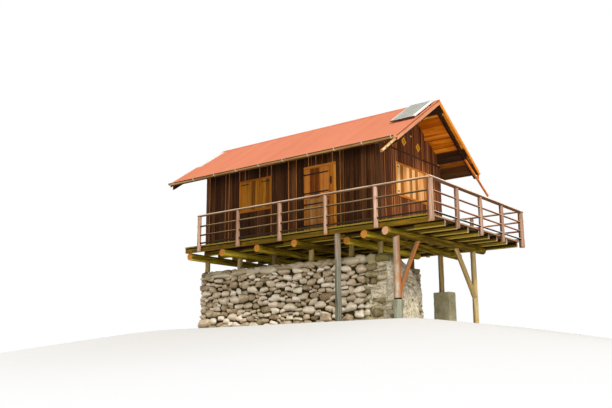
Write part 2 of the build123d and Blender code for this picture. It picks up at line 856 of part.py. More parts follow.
# Boards on the corners and across the gable, with the painted lozenges
with BuildPart() as trim_boards:
    with BuildSketch(Plane.XY.offset(floor_height)):
        for x, sx in ((gable_x, 1), (far_x, -1)):
            for sy in (-1, 1):
                with BuildLine():
                    Polyline(
                        (x + sx * fit, sy * (half + fit)),
                        (x - sx * corner_board_width, sy * (half + fit)),
                        (x - sx * corner_board_width, sy * (half + corner_board)),
                        (x + sx * corner_board, sy * (half + corner_board)),
                        (x + sx * corner_board, sy * (half - corner_board_width)),
                        (x + sx * fit, sy * (half - corner_board_width)),
                        close=True,
                    )
                make_face()
    extrude(amount=band_bottom - fit)
    with BuildSketch(Plane.XY.offset(floor_height + band_bottom)):
        with Locations((gable_x + fit + corner_board / 2, 0), (far_x - fit - corner_board / 2, 0)):
            Rectangle(corner_board, hut_width)
    extrude(amount=band_height)
trim_boards.part.label = "trim_boards"
export_step(trim_boards.part, "parts/trim_boards.step")

with BuildPart() as ornaments:
    with BuildSketch(Plane.YZ.offset(gable_x + fit)):
        for side in (-1, 1):
            with Locations(Location((side * ornament_offset, floor_height + ornament_height), 45)):
                Rectangle(ornament_size / math.sqrt(2), ornament_size / math.sqrt(2))
    extrude(amount=ornament_thickness)
    with BuildSketch(Plane.YZ.offset(gable_x + fit)):
        with Locations((0, floor_height + gable_knob_height)):
            Circle(gable_knob_radius)
    extrude(amount=gable_knob_proud)
    fillet(ornaments.edges().filter_by(GeomType.CIRCLE).sort_by(Axis.X)[-1], 10)
ornaments.part.label = "ornaments"
export_step(ornaments.part, "parts/ornaments.step")

# Door frame: a narrow hinge jamb, a wide lock jamb and a head
leaf_left = door_left + door_hinge_jamb + door_clearance
leaf_right = door_right - door_lock_jamb - door_clearance
leaf_top = door_frame_top - door_head - door_clearance
leaf_face = front_y - frame_proud
with BuildPart() as door_frame:
    with BuildSketch(Plane.XZ.offset(-leaf_face)):
        with BuildLine():
            Polyline(
                (door_left, floor_height),
                (door_left + door_hinge_jamb, floor_height),
                (door_left + door_hinge_jamb, floor_height + door_frame_top - door_head),
                (door_right - door_lock_jamb, floor_height + door_frame_top - door_head),
                (door_right - door_lock_jamb, floor_height),
                (door_right, floor_height),
                (door_right, floor_height + door_frame_top),
                (door_left, floor_height + door_frame_top),
                close=True,
            )
        make_face()
    extrude(amount=-(frame_proud + wall))
door_frame.part.label = "door_frame"
export_step(door_frame.part, "parts/door_frame.step")

# Two door leaves, one over the other
with BuildPart() as lower_leaf:
    with BuildSketch(Plane.XZ.offset(-leaf_face)):
        with BuildLine():
            Polyline(
                (leaf_left, floor_height + leaf_bottom),
                (leaf_right, floor_height + leaf_bottom),
                (leaf_right, floor_height + leaf_split - door_clearance / 2),
                (leaf_left, floor_height + leaf_split - door_clearance / 2),
                close=True,
            )
        make_face()
    extrude(amount=-leaf_thickness)
lower_leaf.part.label = "lower_leaf"
export_step(lower_leaf.part, "parts/lower_leaf.step")

with BuildPart() as upper_leaf:
    with BuildSketch(Plane.XZ.offset(-leaf_face)):
        with BuildLine():
            Polyline(
                (leaf_left, floor_height + leaf_split + door_clearance / 2),
                (leaf_right, floor_height + leaf_split + door_clearance / 2),
                (leaf_right, floor_height + leaf_top),
                (leaf_left, floor_height + leaf_top),
                close=True,
            )
        make_face()
    extrude(amount=-leaf_thickness)
upper_leaf.part.label = "upper_leaf"
export_step(upper_leaf.part, "parts/upper_leaf.step")

# Strap hinges: an eye around the pin and a long strap over the leaf
pin_x = door_left + door_hinge_jamb - pin_from_jamb_edge
pin_y = leaf_face - door_clearance - eye_radius
strap_end = leaf_right - 12
strap_face = leaf_face - fit - strap_thickness
with BuildPart() as lower_straps:
    for height in strap_heights[:2]:
        with BuildSketch(Plane.XY.offset(floor_height + height - strap_width / 2)):
            with BuildLine():
                Polyline(
                    (pin_x, pin_y - eye_radius),
                    (leaf_left + 30, strap_face),
                    (strap_end, strap_face),
                    (strap_end, leaf_face - fit),
                    (leaf_left + 8, leaf_face - fit),
                    (leaf_left, strap_face + 1),
                    (pin_x, pin_y + eye_radius),
                    close=True,
                )
            make_face()
            with Locations((pin_x, pin_y)):
                Circle(eye_radius)
                Circle(pin_radius + pin_clearance, mode=Mode.SUBTRACT)
        extrude(amount=strap_width)
lower_straps.part.label = "lower_straps"
export_step(lower_straps.part, "parts/lower_straps.step")

with BuildPart() as upper_straps:
    for height in strap_heights[2:]:
        with BuildSketch(Plane.XY.offset(floor_height + height - strap_width / 2)):
            with BuildLine():
                Polyline(
                    (pin_x, pin_y - eye_radius),
                    (leaf_left + 30, strap_face),
                    (strap_end, strap_face),
                    (strap_end, leaf_face - fit),
                    (leaf_left + 8, leaf_face - fit),
                    (leaf_left, strap_face + 1),
                    (pin_x, pin_y + eye_radius),
                    close=True,
                )
            make_face()
            with Locations((pin_x, pin_y)):
                Circle(eye_radius)
                Circle(pin_radius + pin_clearance, mode=Mode.SUBTRACT)
        extrude(amount=strap_width)
upper_straps.part.label = "upper_straps"
export_step(upper_straps.part, "parts/upper_straps.step")

# Pintles on the hinge jamb: a bracket under each eye and the pin through it
with BuildPart() as pintles:
    for height in strap_heights:
        low = floor_height + height - strap_width / 2
        with BuildSketch(Plane.XY.offset(low - 2 - strap_thickness)):
            with Locations((pin_x, pin_y)):
                Circle(eye_radius - 2)
            with Locations((pin_x, (pin_y + leaf_face - fit) / 2)):
                Rectangle(2 * eye_radius - 4, leaf_face - fit - pin_y)
        extrude(amount=strap_thickness)
        with BuildSketch(Plane.XY.offset(low - 2 - strap_thickness)):
            with Locations((pin_x, pin_y)):
                Circle(pin_radius)
        extrude(amount=strap_width + 2 + 2 * strap_thickness)
pintles.part.label = "pintles"
export_step(pintles.part, "parts/pintles.step")

# Handle on the lock jamb and the knob of the lower leaf
handle_x = door_right - door_lock_jamb + handle_from_leaf
handle_z = floor_height + handle_height
plate_y = leaf_face - fit
grip_y = leaf_face - handle_stand_off
with BuildPart() as jamb_handle:
    with BuildSketch(Plane.XZ.offset(-plate_y)):
        with Locations((handle_x, handle_z)):
            RectangleRounded(handle_width, handle_length, handle_width / 3)
    extrude(amount=handle_plate)
    with BuildSketch(Plane.YZ.offset(handle_x - handle_bar / 2)):
        with BuildLine():
            Polyline(
                (plate_y - handle_plate + 1, handle_z - 0.38 * handle_length),
                (grip_y, handle_z - 0.33 * handle_length),
                (grip_y, handle_z + 0.33 * handle_length),
                (plate_y - handle_plate + 1, handle_z + 0.38 * handle_length),
                (plate_y - handle_plate + 1, handle_z + 0.30 * handle_length),
                (grip_y + handle_bar, handle_z + 0.26 * handle_length),
                (grip_y + handle_bar, handle_z - 0.26 * handle_length),
                (plate_y - handle_plate + 1, handle_z - 0.30 * handle_length),
                close=True,
            )
        make_face()
    extrude(amount=handle_bar)
jamb_handle.part.label = "jamb_handle"
export_step(jamb_handle.part, "parts/jamb_handle.step")

with BuildPart() as leaf_knob:
    with BuildSketch(Plane.YZ.offset(leaf_right - knob_from_edge)):
        with BuildLine():
            knob_low = floor_height + knob_height
            knob_back = plate_y - knob_stand_off + 0.9 * knob_radius
            Polyline(
                (knob_back, knob_low + 0.4 * knob_radius),
                (plate_y - 4, knob_low + 0.4 * knob_radius),
                (plate_y - 4, knob_low + knob_rose_radius),
                (plate_y, knob_low + knob_rose_radius),
                (plate_y, knob_low),
                (plate_y - knob_stand_off - knob_radius, knob_low),
            )
            ThreePointArc(
                (plate_y - knob_stand_off - knob_radius, knob_low),
                (plate_y - knob_stand_off, knob_low + knob_radius),
                (knob_back, knob_low + 0.4 * knob_radius),
            )
        make_face()
    revolve(axis=Axis((leaf_right - knob_from_edge, plate_y, knob_low), (0, 1, 0)))
leaf_knob.part.label = "leaf_knob"
export_step(leaf_knob.part, "parts/leaf_knob.step")

# Windows: a deep frame through the wall and a closed pair of shutters in it
with BuildPart() as front_window_frame:
    with BuildSketch(Plane.XZ.offset(-(front_y - window_proud))):
        with Locations((
            (front_window_left + front_window_right) / 2,
            floor_height + (front_window_bottom + front_window_top) / 2,
        )):
            Rectangle(front_window_width, front_window_top - front_window_bottom)
            Rectangle(
                front_window_width - 2 * window_trim,
                front_window_top - front_window_bottom - 2 * window_trim,
                mode=Mode.SUBTRACT,
            )
    extrude(amount=-(window_proud + wall))
front_window_frame.part.label = "front_window_frame"
export_step(front_window_frame.part, "parts/front_window_frame.step")

front_shutter_face = front_y - window_proud + 8
front_leaf_width = front_window_width / 2 - window_trim - fit - shutter_gap / 2
with BuildPart() as front_shutters:
    with BuildSketch(Plane.XZ.offset(-front_shutter_face)):
        for side in (-1, 1):
            with Locations((
                (front_window_left + front_window_right) / 2 + side * (front_leaf_width + shutter_gap) / 2,
                floor_height + (front_window_bottom + front_window_top) / 2,
            )):
                Rectangle(
                    front_leaf_width,
                    front_window_top - front_window_bottom - 2 * window_trim - 2 * fit,
                )
    extrude(amount=-shutter_thickness)
front_shutters.part.label = "front_shutters"
export_step(front_shutters.part, "parts/front_shutters.step")

with BuildPart() as gable_window_frame:
    with BuildSketch(Plane.YZ.offset(gable_x - wall)):
        with Locations((0, floor_height + (gable_window_bottom + gable_window_top) / 2)):
            Rectangle(gable_window_width, gable_window_top - gable_window_bottom)
            Rectangle(
                gable_window_width - 2 * window_trim,
                gable_window_top - gable_window_bottom - 2 * window_trim,
                mode=Mode.SUBTRACT,
            )
    extrude(amount=window_proud + wall)
gable_window_frame.part.label = "gable_window_frame"
export_step(gable_window_frame.part, "parts/gable_window_frame.step")

gable_leaf_width = gable_window_width / 2 - window_trim - fit - shutter_gap / 2
with BuildPart() as gable_shutters:
    with BuildSketch(Plane.YZ.offset(gable_x + window_proud - 8 - shutter_thickness)):
        for side in (-1, 1):
            with Locations((
                side * (gable_leaf_width + shutter_gap) / 2,
                floor_height + (gable_window_bottom + gable_window_top) / 2,
            )):
                Rectangle(
                    gable_leaf_width,
                    gable_window_top - gable_window_bottom - 2 * window_trim - 2 * fit,
                )
    extrude(amount=shutter_thickness)
gable_shutters.part.label = "gable_shutters"
export_step(gable_shutters.part, "parts/gable_shutters.step")

# Iron straps on the door-side shutters and short hinges on the gable shutters
with BuildPart() as front_shutter_straps:
    with BuildSketch(Plane.XZ.offset(-(front_shutter_face - fit))):
        for x, side in ((front_window_left + window_trim, 1), (front_window_right - window_trim, -1)):
            for z in (front_window_bottom + shutter_strap_inset, front_window_top - shutter_strap_inset):
                with Locations((x + side * (shutter_strap_length / 2 + shutter_gap), floor_height + z)):
                    Rectangle(shutter_strap_length, shutter_strap_width)
    extrude(amount=shutter_strap_thickness)
front_shutter_straps.part.label = "front_shutter_straps"
export_step(front_shutter_straps.part, "parts/front_shutter_straps.step")

with BuildPart() as gable_shutter_hinges:
    with BuildSketch(Plane.YZ.offset(gable_x + window_proud - 8 + fit)):
        for side in (-1, 1):
            for z in (gable_window_bottom + shutter_strap_inset, gable_window_top - shutter_strap_inset):
                with Locations((
                    side * (gable_window_width / 2 - window_trim - shutter_hinge_length / 2 - shutter_gap),
                    floor_height + z,
                )):
                    Rectangle(shutter_hinge_length, shutter_strap_width)
    extrude(amount=shutter_strap_thickness)
gable_shutter_hinges.part.label = "gable_shutter_hinges"
export_step(gable_shutter_hinges.part, "parts/gable_shutter_hinges.step")

# Pale strip on the upper part of the far verge
with BuildPart() as verge_strip:
    with BuildSketch(Plane(
        origin=(roof_left, -eave_y, ridge_z - eave_y * tan_p),
        x_dir=(1, 0, 0),
        z_dir=(0, -sin_p, cos_p),
    ).offset(fit)):
        with Locations((
            verge_strip_width / 2,
            (eave_y - ridge_cap_width) / cos_p - 2 * ridge_cap_sheet - verge_strip_length / 2,
        )):
            Rectangle(verge_strip_width, verge_strip_length)
    extrude(amount=verge_strip_sheet)
verge_strip.part.label = "verge_strip"
export_step(verge_strip.part, "parts/verge_strip.step")

# Railing posts hung on the edge of the deck, with holes for the rails
post_line_x = deck_right + rail_post_offset
post_line_front = deck_front - rail_post_offset
post_line_back = deck_back + rail_post_offset
side_pitch = (post_line_back - post_line_front) / side_rail_bays
front_rail_bays = int((post_line_x - far_x) // front_rail_pitch)
rail_left = post_line_x - front_rail_bays * front_rail_pitch
post_top = floor_height + rail_post_top
corner_bite = corner_post_radius - 25
with BuildPart() as railing_posts:
    with BuildSketch(Plane.XY.offset(floor_height - rail_post_drop)):
        with Locations((post_line_x, post_line_front), (post_line_x, post_line_back)):
            Circle(corner_post_radius)
        for i in range(1, side_rail_bays):
            with Locations((post_line_x, post_line_front + i * side_pitch)):
                Circle(rail_post_radius)
        for i in range(1, front_rail_bays + 1):
            with Locations(
                (post_line_x - i * front_rail_pitch, post_line_front),
                (post_line_x - i * front_rail_pitch, post_line_back),
            ):
                Circle(rail_post_radius)
    extrude(amount=rail_post_drop + rail_post_top)
    with BuildSketch(Plane.XY.offset(floor_height - 2 * rail_post_drop)):
        with Locations(((deck_right + fit + far_x) / 2, (deck_front + deck_back) / 2)):
            Rectangle(deck_right + fit - far_x, deck_back - deck_front + 2 * fit)
    extrude(amount=2 * rail_post_drop + fit, mode=Mode.SUBTRACT)
    with BuildSketch(Plane.YZ.offset(rail_left - rail_post_radius)):
        for z in rail_heights:
            with Locations((post_line_front, floor_height + z), (post_line_back, floor_height + z)):
                Circle(rail_radius + fit)
    extrude(amount=post_line_x - corner_bite - rail_left + rail_post_radius, mode=Mode.SUBTRACT)
    with BuildSketch(Plane.XZ.offset(-(post_line_front + corner_bite))):
        for z in rail_heights:
            with Locations((post_line_x, floor_height + z)):
                Circle(rail_radius + fit)
    extrude(amount=-(post_line_back - post_line_front - 2 * corner_bite), mode=Mode.SUBTRACT)
railing_posts.part.label = "railing_posts"
export_step(railing_posts.part, "parts/railing_posts.step")

with BuildPart() as front_rails:
    with BuildSketch(Plane.YZ.offset(rail_left - rail_post_radius)):
        for z in rail_heights:
            with Locations((post_line_front, floor_height + z)):
                Circle(rail_radius)
    extrude(amount=post_line_x - corner_bite - fit - rail_left + rail_post_radius)
    with BuildSketch(Plane.YZ.offset(rail_left - rail_post_radius)):
        with Locations((post_line_front, post_top + top_rail_radius - 4)):
            Circle(top_rail_radius)
        with Locations((post_line_front, post_top - top_rail_radius + fit)):
            Rectangle(2 * top_rail_radius, 2 * top_rail_radius, mode=Mode.SUBTRACT)
    extrude(amount=post_line_x - half_log_width / 2 - fit - rail_left + rail_post_radius)
front_rails.part.label = "front_rails"
export_step(front_rails.part, "parts/front_rails.step")

with BuildPart() as back_rails:
    with BuildSketch(Plane.YZ.offset(rail_left - rail_post_radius)):
        for z in rail_heights:
            with Locations((post_line_back, floor_height + z)):
                Circle(rail_radius)
    extrude(amount=post_line_x - corner_bite - fit - rail_left + rail_post_radius)
    with BuildSketch(Plane.YZ.offset(rail_left - rail_post_radius)):
        with Locations((post_line_back, post_top + top_rail_radius - 4)):
            Circle(top_rail_radius)
        with Locations((post_line_back, post_top - top_rail_radius + fit)):
            Rectangle(2 * top_rail_radius, 2 * top_rail_radius, mode=Mode.SUBTRACT)
    extrude(amount=post_line_x - half_log_width / 2 - fit - rail_left + rail_post_radius)
back_rails.part.label = "back_rails"
export_step(back_rails.part, "parts/back_rails.step")

with BuildPart() as side_rails:
    with BuildSketch(Plane.XZ.offset(-(post_line_front + corner_bite + fit))):
        for z in rail_heights:
            with Locations((post_line_x, floor_height + z)):
                Circle(rail_radius)
    extrude(amount=-(post_line_back - post_line_front - 2 * corner_bite - 2 * fit))
    with BuildSketch(Plane.XZ.offset(-(post_line_front - corner_post_radius))):
        with BuildLine():
            Line(
                (post_line_x - half_log_width / 2, post_top + fit),
                (post_line_x + half_log_width / 2, post_top + fit),
            )
            ThreePointArc(
                (post_line_x + half_log_width / 2, post_top + fit),
                (post_line_x, post_top + half_log_height),
                (post_line_x - half_log_width / 2, post_top + fit),
            )
        make_face()
    extrude(amount=-(post_line_back - post_line_front + 2 * corner_post_radius))
side_rails.part.label = "side_rails"
export_step(side_rails.part, "parts/side_rails.step")
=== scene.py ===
import math
import random
from functools import partialmethod

import bpy
import numpy as np
from mathutils import Matrix, Vector


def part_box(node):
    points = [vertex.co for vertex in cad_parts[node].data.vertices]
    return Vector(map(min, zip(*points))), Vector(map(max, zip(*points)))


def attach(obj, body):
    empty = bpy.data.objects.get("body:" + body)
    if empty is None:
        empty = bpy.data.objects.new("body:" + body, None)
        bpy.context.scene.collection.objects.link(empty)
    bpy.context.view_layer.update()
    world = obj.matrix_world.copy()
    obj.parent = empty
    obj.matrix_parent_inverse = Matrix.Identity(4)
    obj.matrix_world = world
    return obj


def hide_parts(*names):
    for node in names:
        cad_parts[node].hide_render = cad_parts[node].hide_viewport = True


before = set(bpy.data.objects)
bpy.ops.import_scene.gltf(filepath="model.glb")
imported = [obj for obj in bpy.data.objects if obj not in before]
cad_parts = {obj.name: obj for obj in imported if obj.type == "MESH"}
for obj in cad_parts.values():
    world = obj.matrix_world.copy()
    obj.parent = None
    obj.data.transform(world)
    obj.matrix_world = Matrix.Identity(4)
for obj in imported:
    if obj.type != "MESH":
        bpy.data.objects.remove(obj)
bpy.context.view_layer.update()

# Hillside log cabin. Metres; +X along the ridge to the deck gable, -Y to the door wall, +Z up.

X, Y, Z = np.eye(3)
PITCH = math.radians(33.9)
TAN, COS, SIN = math.tan(PITCH), math.cos(PITCH), math.sin(PITCH)


def limits(node):
    """Lowest and highest corner of a CAD node as arrays."""
    return tuple(np.array(corner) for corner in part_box(node))


# Surfaces: each function returns rings of points, their place in the grain, a tone and an end slot

def unit(v):
    """The vector divided by its length."""
    v = np.asarray(v, float)
    return v / np.linalg.norm(v)


def lumps(points, seed):
    """Smooth noise from -1 to 1: every whole-number lattice corner has a hashed value, and a
    point blends its eight corners with the smoothstep 3f^2 - 2f^3 of its place in the cell."""
    cell = np.floor(points).astype(np.int64)
    f = points - cell
    f = f * f * (3.0 - 2.0 * f)
    total = np.zeros(points.shape[:-1])
    primes, whole = np.array([374761393, 668265263, 1440662683]), 0xFFFFFFFF
    for k in range(8):
        bit = np.array([k & 1, (k >> 1) & 1, (k >> 2) & 1])
        h = ((cell + bit) @ primes + seed * 974634777) & whole
        h = ((h ^ (h >> 13)) * 1274126177) & whole
        value = (h ^ (h >> 16)) / 2147483647.5 - 1.0
        total = total + value * np.prod(np.where(bit == 1, f, 1.0 - f), axis=-1)
    return total


def planks(start, along, across, out, length, width, thick, seed, far_length=None,
           chamfer=0.003, steps=9, sway=0.0012, cap=0):
    """Boards side by side. Each is an eight-cornered chamfered rectangle carried along a straight
    line: place = start + along*u + across*v + out*w, with u from 0 to the length, which may
    change evenly across the width, and v swaying by a slow sine of u."""
    rng = np.random.default_rng(seed)
    start = np.atleast_2d(np.asarray(start, float))
    n = len(start)
    length = np.broadcast_to(np.asarray(length, float), (n,))
    far = length if far_length is None else np.broadcast_to(np.asarray(far_length, float), (n,))
    width = np.broadcast_to(np.asarray(width, float), (n,))
    c = chamfer
    v0 = np.array([1, -1, 0, 0, -1, 1, 0, 0], float) * c
    v1 = np.array([0, 1, 1, 1, 1, 0, 0, 0], float)
    w = np.array([0, 0, c, thick - c, thick, thick, thick - c, c], float)
    v = v1[None, :] * width[:, None] + v0[None, :]
    if np.dot(np.cross(across, out), along) < 0:
        v, w = v[:, ::-1], w[::-1]
    s = np.linspace(0.0, 1.0, steps)
    full = length[:, None] + (far - length)[:, None] * v / width[:, None]
    u = s[None, :, None] * full[:, None, :]
    vv = v[:, None, :] + sway * np.sin(u * (1.1 + rng.random((n, 1, 1))) + rng.random((n, 1, 1)) * 6.28)
    ww = w[None, None, :] + 0.5 * sway * np.sin(u * 1.7 + rng.random((n, 1, 1)) * 6.28)
    rings = start[:, None, None, :] + u[..., None] * along + vv[..., None] * across + ww[..., None] * out
    grain = np.stack([u, vv, np.broadcast_to(ww, u.shape)], -1)
    grain = grain + rng.random((n, 1, 1, 3)) * np.array([40.0, 7.0, 3.0])
    return rings, grain, rng.random(n), cap


def log(p0, p1, r0, r1, seed, step=0.12, sides=24, bow=0.008, rough=0.03, knots=4,
        flat=None, cap=1):
    """A round log: a circle carried from p0 to p1. Its radius runs evenly from r0 to r1, times one
    plus slow sines of angle and length, plus a bell-shaped bump at each knot; its middle line
    bows by a sine. Points above the height flat are cut down to it."""
    rng = np.random.default_rng(seed)
    p0, p1 = np.asarray(p0, float), np.asarray(p1, float)
    span = np.linalg.norm(p1 - p0)
    t = (p1 - p0) / span
    a = unit(np.cross(t, Z if abs(t[2]) < 0.9 else X))
    b = np.cross(t, a)
    count = max(4, int(span / step))
    bevel = 0.12 * min(r0, r1)
    u = np.concatenate([[0.0], np.linspace(bevel, span - bevel, count), [span]])[:, None]
    angle = np.linspace(0, 2 * np.pi, sides, endpoint=False)[None, :]
    ph = rng.random(6) * 6.28
    k = (0.55 * np.sin(2 * angle + ph[0] + 0.9 * u) + 0.4 * np.sin(3 * angle + ph[1] - 0.6 * u)
         + 0.25 * np.sin(5 * angle + ph[2] + 2.3 * u) + 0.35 * np.sin(2.9 * u + ph[3])
         + 0.2 * np.sin(7.3 * u + 2 * angle + ph[4]))
    r = (r0 + (r1 - r0) * u / span) * (1 + rough * (k - 0.6))
    for _ in range(knots):
        uk, ak = rng.random() * span, rng.random() * 6.28
        turn = (angle - ak + np.pi) % (2 * np.pi) - np.pi
        r = r + 0.08 * r0 * np.exp(-((u - uk) / 0.06) ** 2 - (turn / 0.35) ** 2)
    r[0] *= 0.9
    r[-1] *= 0.9
    lean = bow * np.sin(np.pi * u / span) + 0.3 * bow * np.sin(3 * np.pi * u / span + ph[5])
    rings = (p0 + u[..., None] * t + (r * np.cos(angle) + lean)[..., None] * a
             + (r * np.sin(angle))[..., None] * b)
    if flat is not None:
        rings[..., 2] = np.minimum(rings[..., 2], flat)
    grain = np.stack([u + 0 * angle, r * np.cos(angle), r * np.sin(angle)], -1)
    return rings[None], (grain + np.array([rng.random() * 30, 0, 0]))[None], rng.random(1), cap


def upright(x, y, low, high, r0, r1, seed, **settings):
    """A round log that stands from the height low to the height high."""
    return log((x, y, low), (x, y, high), r0, r1, seed, **settings)


def half_log(p0, p1, width, height, seed):
    """A split log lying on its flat side: the ring is a flat base and a half ellipse over it,
    carried from p0 to p1, with its height and width swaying by slow sines."""
    rng = np.random.default_rng(seed)
    p0, p1 = np.asarray(p0, float), np.asarray(p1, float)
    span = np.linalg.norm(p1 - p0)
    t = (p1 - p0) / span
    u = np.linspace(0, span, 46)[:, None]
    angle = np.linspace(0, np.pi, 13)[None, :]
    base = np.array([[-0.5, 0.0, 0.5]])
    k = 1 + 0.05 * np.sin(1.7 * u + 1) + 0.03 * np.sin(5.1 * u)
    round_side = 0.5 * np.sign(np.cos(angle)) * np.abs(np.cos(angle)) ** 0.6
    side = np.concatenate([round_side + 0 * u, base + 0 * u], 1) * width * k
    rise = np.concatenate([np.sin(angle) ** 0.5 + 0 * u, 0 * base + 0 * u], 1) * height * (1.92 - k)
    rings = p0 + u[..., None] * t + side[..., None] * np.cross(t, Z) + rise[..., None] * Z
    grain = np.stack([u + 0 * side, side, rise], -1) + np.array([rng.random() * 30, 0, 0])
    return rings[None], grain[None], rng.random(1), 1


def fitted(width, height, seed, dense):
    """Places for fitted stones. A fine grid over the wall is shared out among random points: each
    grid place goes to the stone with the least squared distance, heights counting 1.7 times,
    less its own random size, and each stone then moves to the middle of its share. In the end
    its half width, half height and turn are those of the oval that spreads as its share does.
    Rows of (across, up, half width, half height, turn)."""
    rng = np.random.default_rng(seed)
    n = max(3, int(width * height * dense))
    step, stretch = 0.03, np.array([1.0, 1.7])
    middle = rng.random((n, 2)) * (width, height)
    size = 1.5 * rng.random(n) ** 2 / dense
    across, up = np.arange(step / 2, width, step), np.arange(step / 2, height, step)
    grid = np.stack(np.meshgrid(across, up), -1).reshape(-1, 2)
    for _ in range(7):
        m = middle * stretch
        owner = ((m ** 2).sum(1) - size - 2 * (grid * stretch) @ m.T).argmin(1)
        count = np.bincount(owner, minlength=len(middle))
        live = np.maximum(count, 1)
        mean = np.stack([np.bincount(owner, grid[:, k], len(live)) / live for k in (0, 1)], 1)
        d = grid - mean[owner]
        xx, yy, xy = (np.bincount(owner, a * b, len(live)) / live for a, b in
                      ((d[:, 0], d[:, 0]), (d[:, 1], d[:, 1]), (d[:, 0], d[:, 1])))
        kept = count > 5
        middle, size = mean[kept], size[kept]
    mean_spread, spread = (xx + yy) / 2, np.sqrt((xx - yy) ** 2 / 4 + xy ** 2)
    wide = 1.80 * np.sqrt(mean_spread + spread)
    high = 1.80 * np.sqrt(np.maximum(mean_spread - spread, 0))
    rows = np.stack([mean[:, 0], mean[:, 1], wide, high, 0.5 * np.arctan2(2 * xy, xx - yy)], 1)
    return rows[kept]


def stones(centre, half, axes, turn, seed):
    """Rounded stones: each ring of latitude is a squared-off ellipse, pinched towards both ends
    along the first axis, and every point moves in or out with noise of its direction. Each
    stone is turned about its outward axis. No point lies under the ground."""
    rng = np.random.default_rng(seed)
    n = len(centre)
    u_axis, out, v_axis = axes
    lat = np.radians(np.array([-80.0, -58.0, -28.0, 0.0, 28.0, 58.0, 80.0]))[None, :, None]
    lon = np.linspace(0, 2 * np.pi, 12, endpoint=False)[None, None, :]
    if np.dot(np.cross(out, v_axis), u_axis) < 0:
        lon = -lon
    power = rng.uniform(0.55, 0.90, (n, 1, 1))

    def soft(value):
        return np.sign(value) * np.abs(value) ** power

    ring = np.abs(np.cos(lat)) ** power
    place = np.stack([soft(np.sin(lat)) + 0 * lon, ring * soft(np.cos(lon)), ring * soft(np.sin(lon))], -1)
    bump = 1 + 0.46 * (lumps(place * 1.2 + rng.random((n, 1, 1, 3)) * 50, seed) - 0.05)
    place = place * bump[..., None] * half[:, None, None, :]
    turn = turn[:, None, None]
    xr = place[..., 0] * np.cos(turn) - place[..., 2] * np.sin(turn)
    zr = place[..., 0] * np.sin(turn) + place[..., 2] * np.cos(turn)
    rings = (centre[:, None, None, :] + xr[..., None] * u_axis + place[..., 1][..., None] * out
             + zr[..., None] * v_axis)
    rings[..., 2] = np.maximum(rings[..., 2], 0.001)
    return rings, place + rng.random((n, 1, 1, 3)) * 30, rng.random(n), 0


def stone_face(corner, u_axis, v_axis, out, width, height, seed, lean=0.0, dense=28, back=0.004):
    """Fitted stones over one wall face, which leans back evenly by lean to its top. The larger a
    stone the further it stands out."""
    rng = np.random.default_rng(seed + 50)
    rows = fitted(width, height, seed, dense)
    deepest = 0.11
    deep = np.clip(0.9 * rows[:, 3], 0.045, deepest)
    inset = back + deep + (deepest - deep) * 0.35 + rng.uniform(0.0, 0.022, len(rows))
    inset = inset + lean * rows[:, 1] / height
    centre = corner + rows[:, :1] * u_axis + rows[:, 1:2] * v_axis - inset[:, None] * out
    size = np.stack([rows[:, 2], deep, rows[:, 3]], 1)
    return stones(centre, size, (u_axis, out, v_axis), rows[:, 4], seed)


def rough_block(levels, seed, push, scale=4.0, around=72, steps=22, corner=9.0):
    """A rough upright block. levels holds rows of (height, low x, low y, high x, high y), and
    between them the rectangle changes evenly. Its outline is a square drawn onto the squared-off
    circle |a|^n + |b|^n = 1, spread to the rectangle and moved outwards by noise of its place."""
    levels = np.asarray(levels, float)
    t = np.linspace(0, 4, around, endpoint=False)
    k = t % 1.0 * 2 - 1
    side = t.astype(int)
    ox = np.choose(side, [k, 1 + 0 * k, -k, -1 + 0 * k])
    oy = np.choose(side, [-1 + 0 * k, k, 1 + 0 * k, -k])
    shrink = (np.abs(ox) ** corner + np.abs(oy) ** corner) ** (1 / corner)
    ox, oy = ox / shrink, oy / shrink
    v = np.concatenate([[0.0, 0.012], np.linspace(0.03, 0.97, steps), [0.99, 1.0]])
    squeeze = np.concatenate([[0.985, 0.997], np.ones(steps), [0.992, 0.965]])[:, None]
    z = levels[0, 0] + (levels[-1, 0] - levels[0, 0]) * v
    x0, y0, x1, y1 = (np.interp(z, levels[:, 0], levels[:, c])[:, None] for c in range(1, 5))
    x = (x0 + x1) / 2 + (x1 - x0) / 2 * ox * squeeze
    y = (y0 + y1) / 2 + (y1 - y0) / 2 * oy * squeeze
    place = np.stack([x, y, z[:, None] + 0 * x], -1)
    rough = sum(lumps(place * scale * 2.0 ** o, seed + o) * 0.45 ** o for o in range(3))
    away = np.stack([ox + 0 * x, oy + 0 * x, 0 * x], -1)
    away = away / np.linalg.norm(away, axis=-1, keepdims=True)
    rings = place + away * (push * (rough - 0.6))[..., None]
    return rings[None], place[None].copy(), np.array([0.5]), 0


def placed(name, data):
    """A new object in the scene."""
    made = bpy.data.objects.new(name, data)
    bpy.context.scene.collection.objects.link(made)
    return made


ROUND_SLOTS = ("beam_logs", "rail_wood", "stones", "concrete")


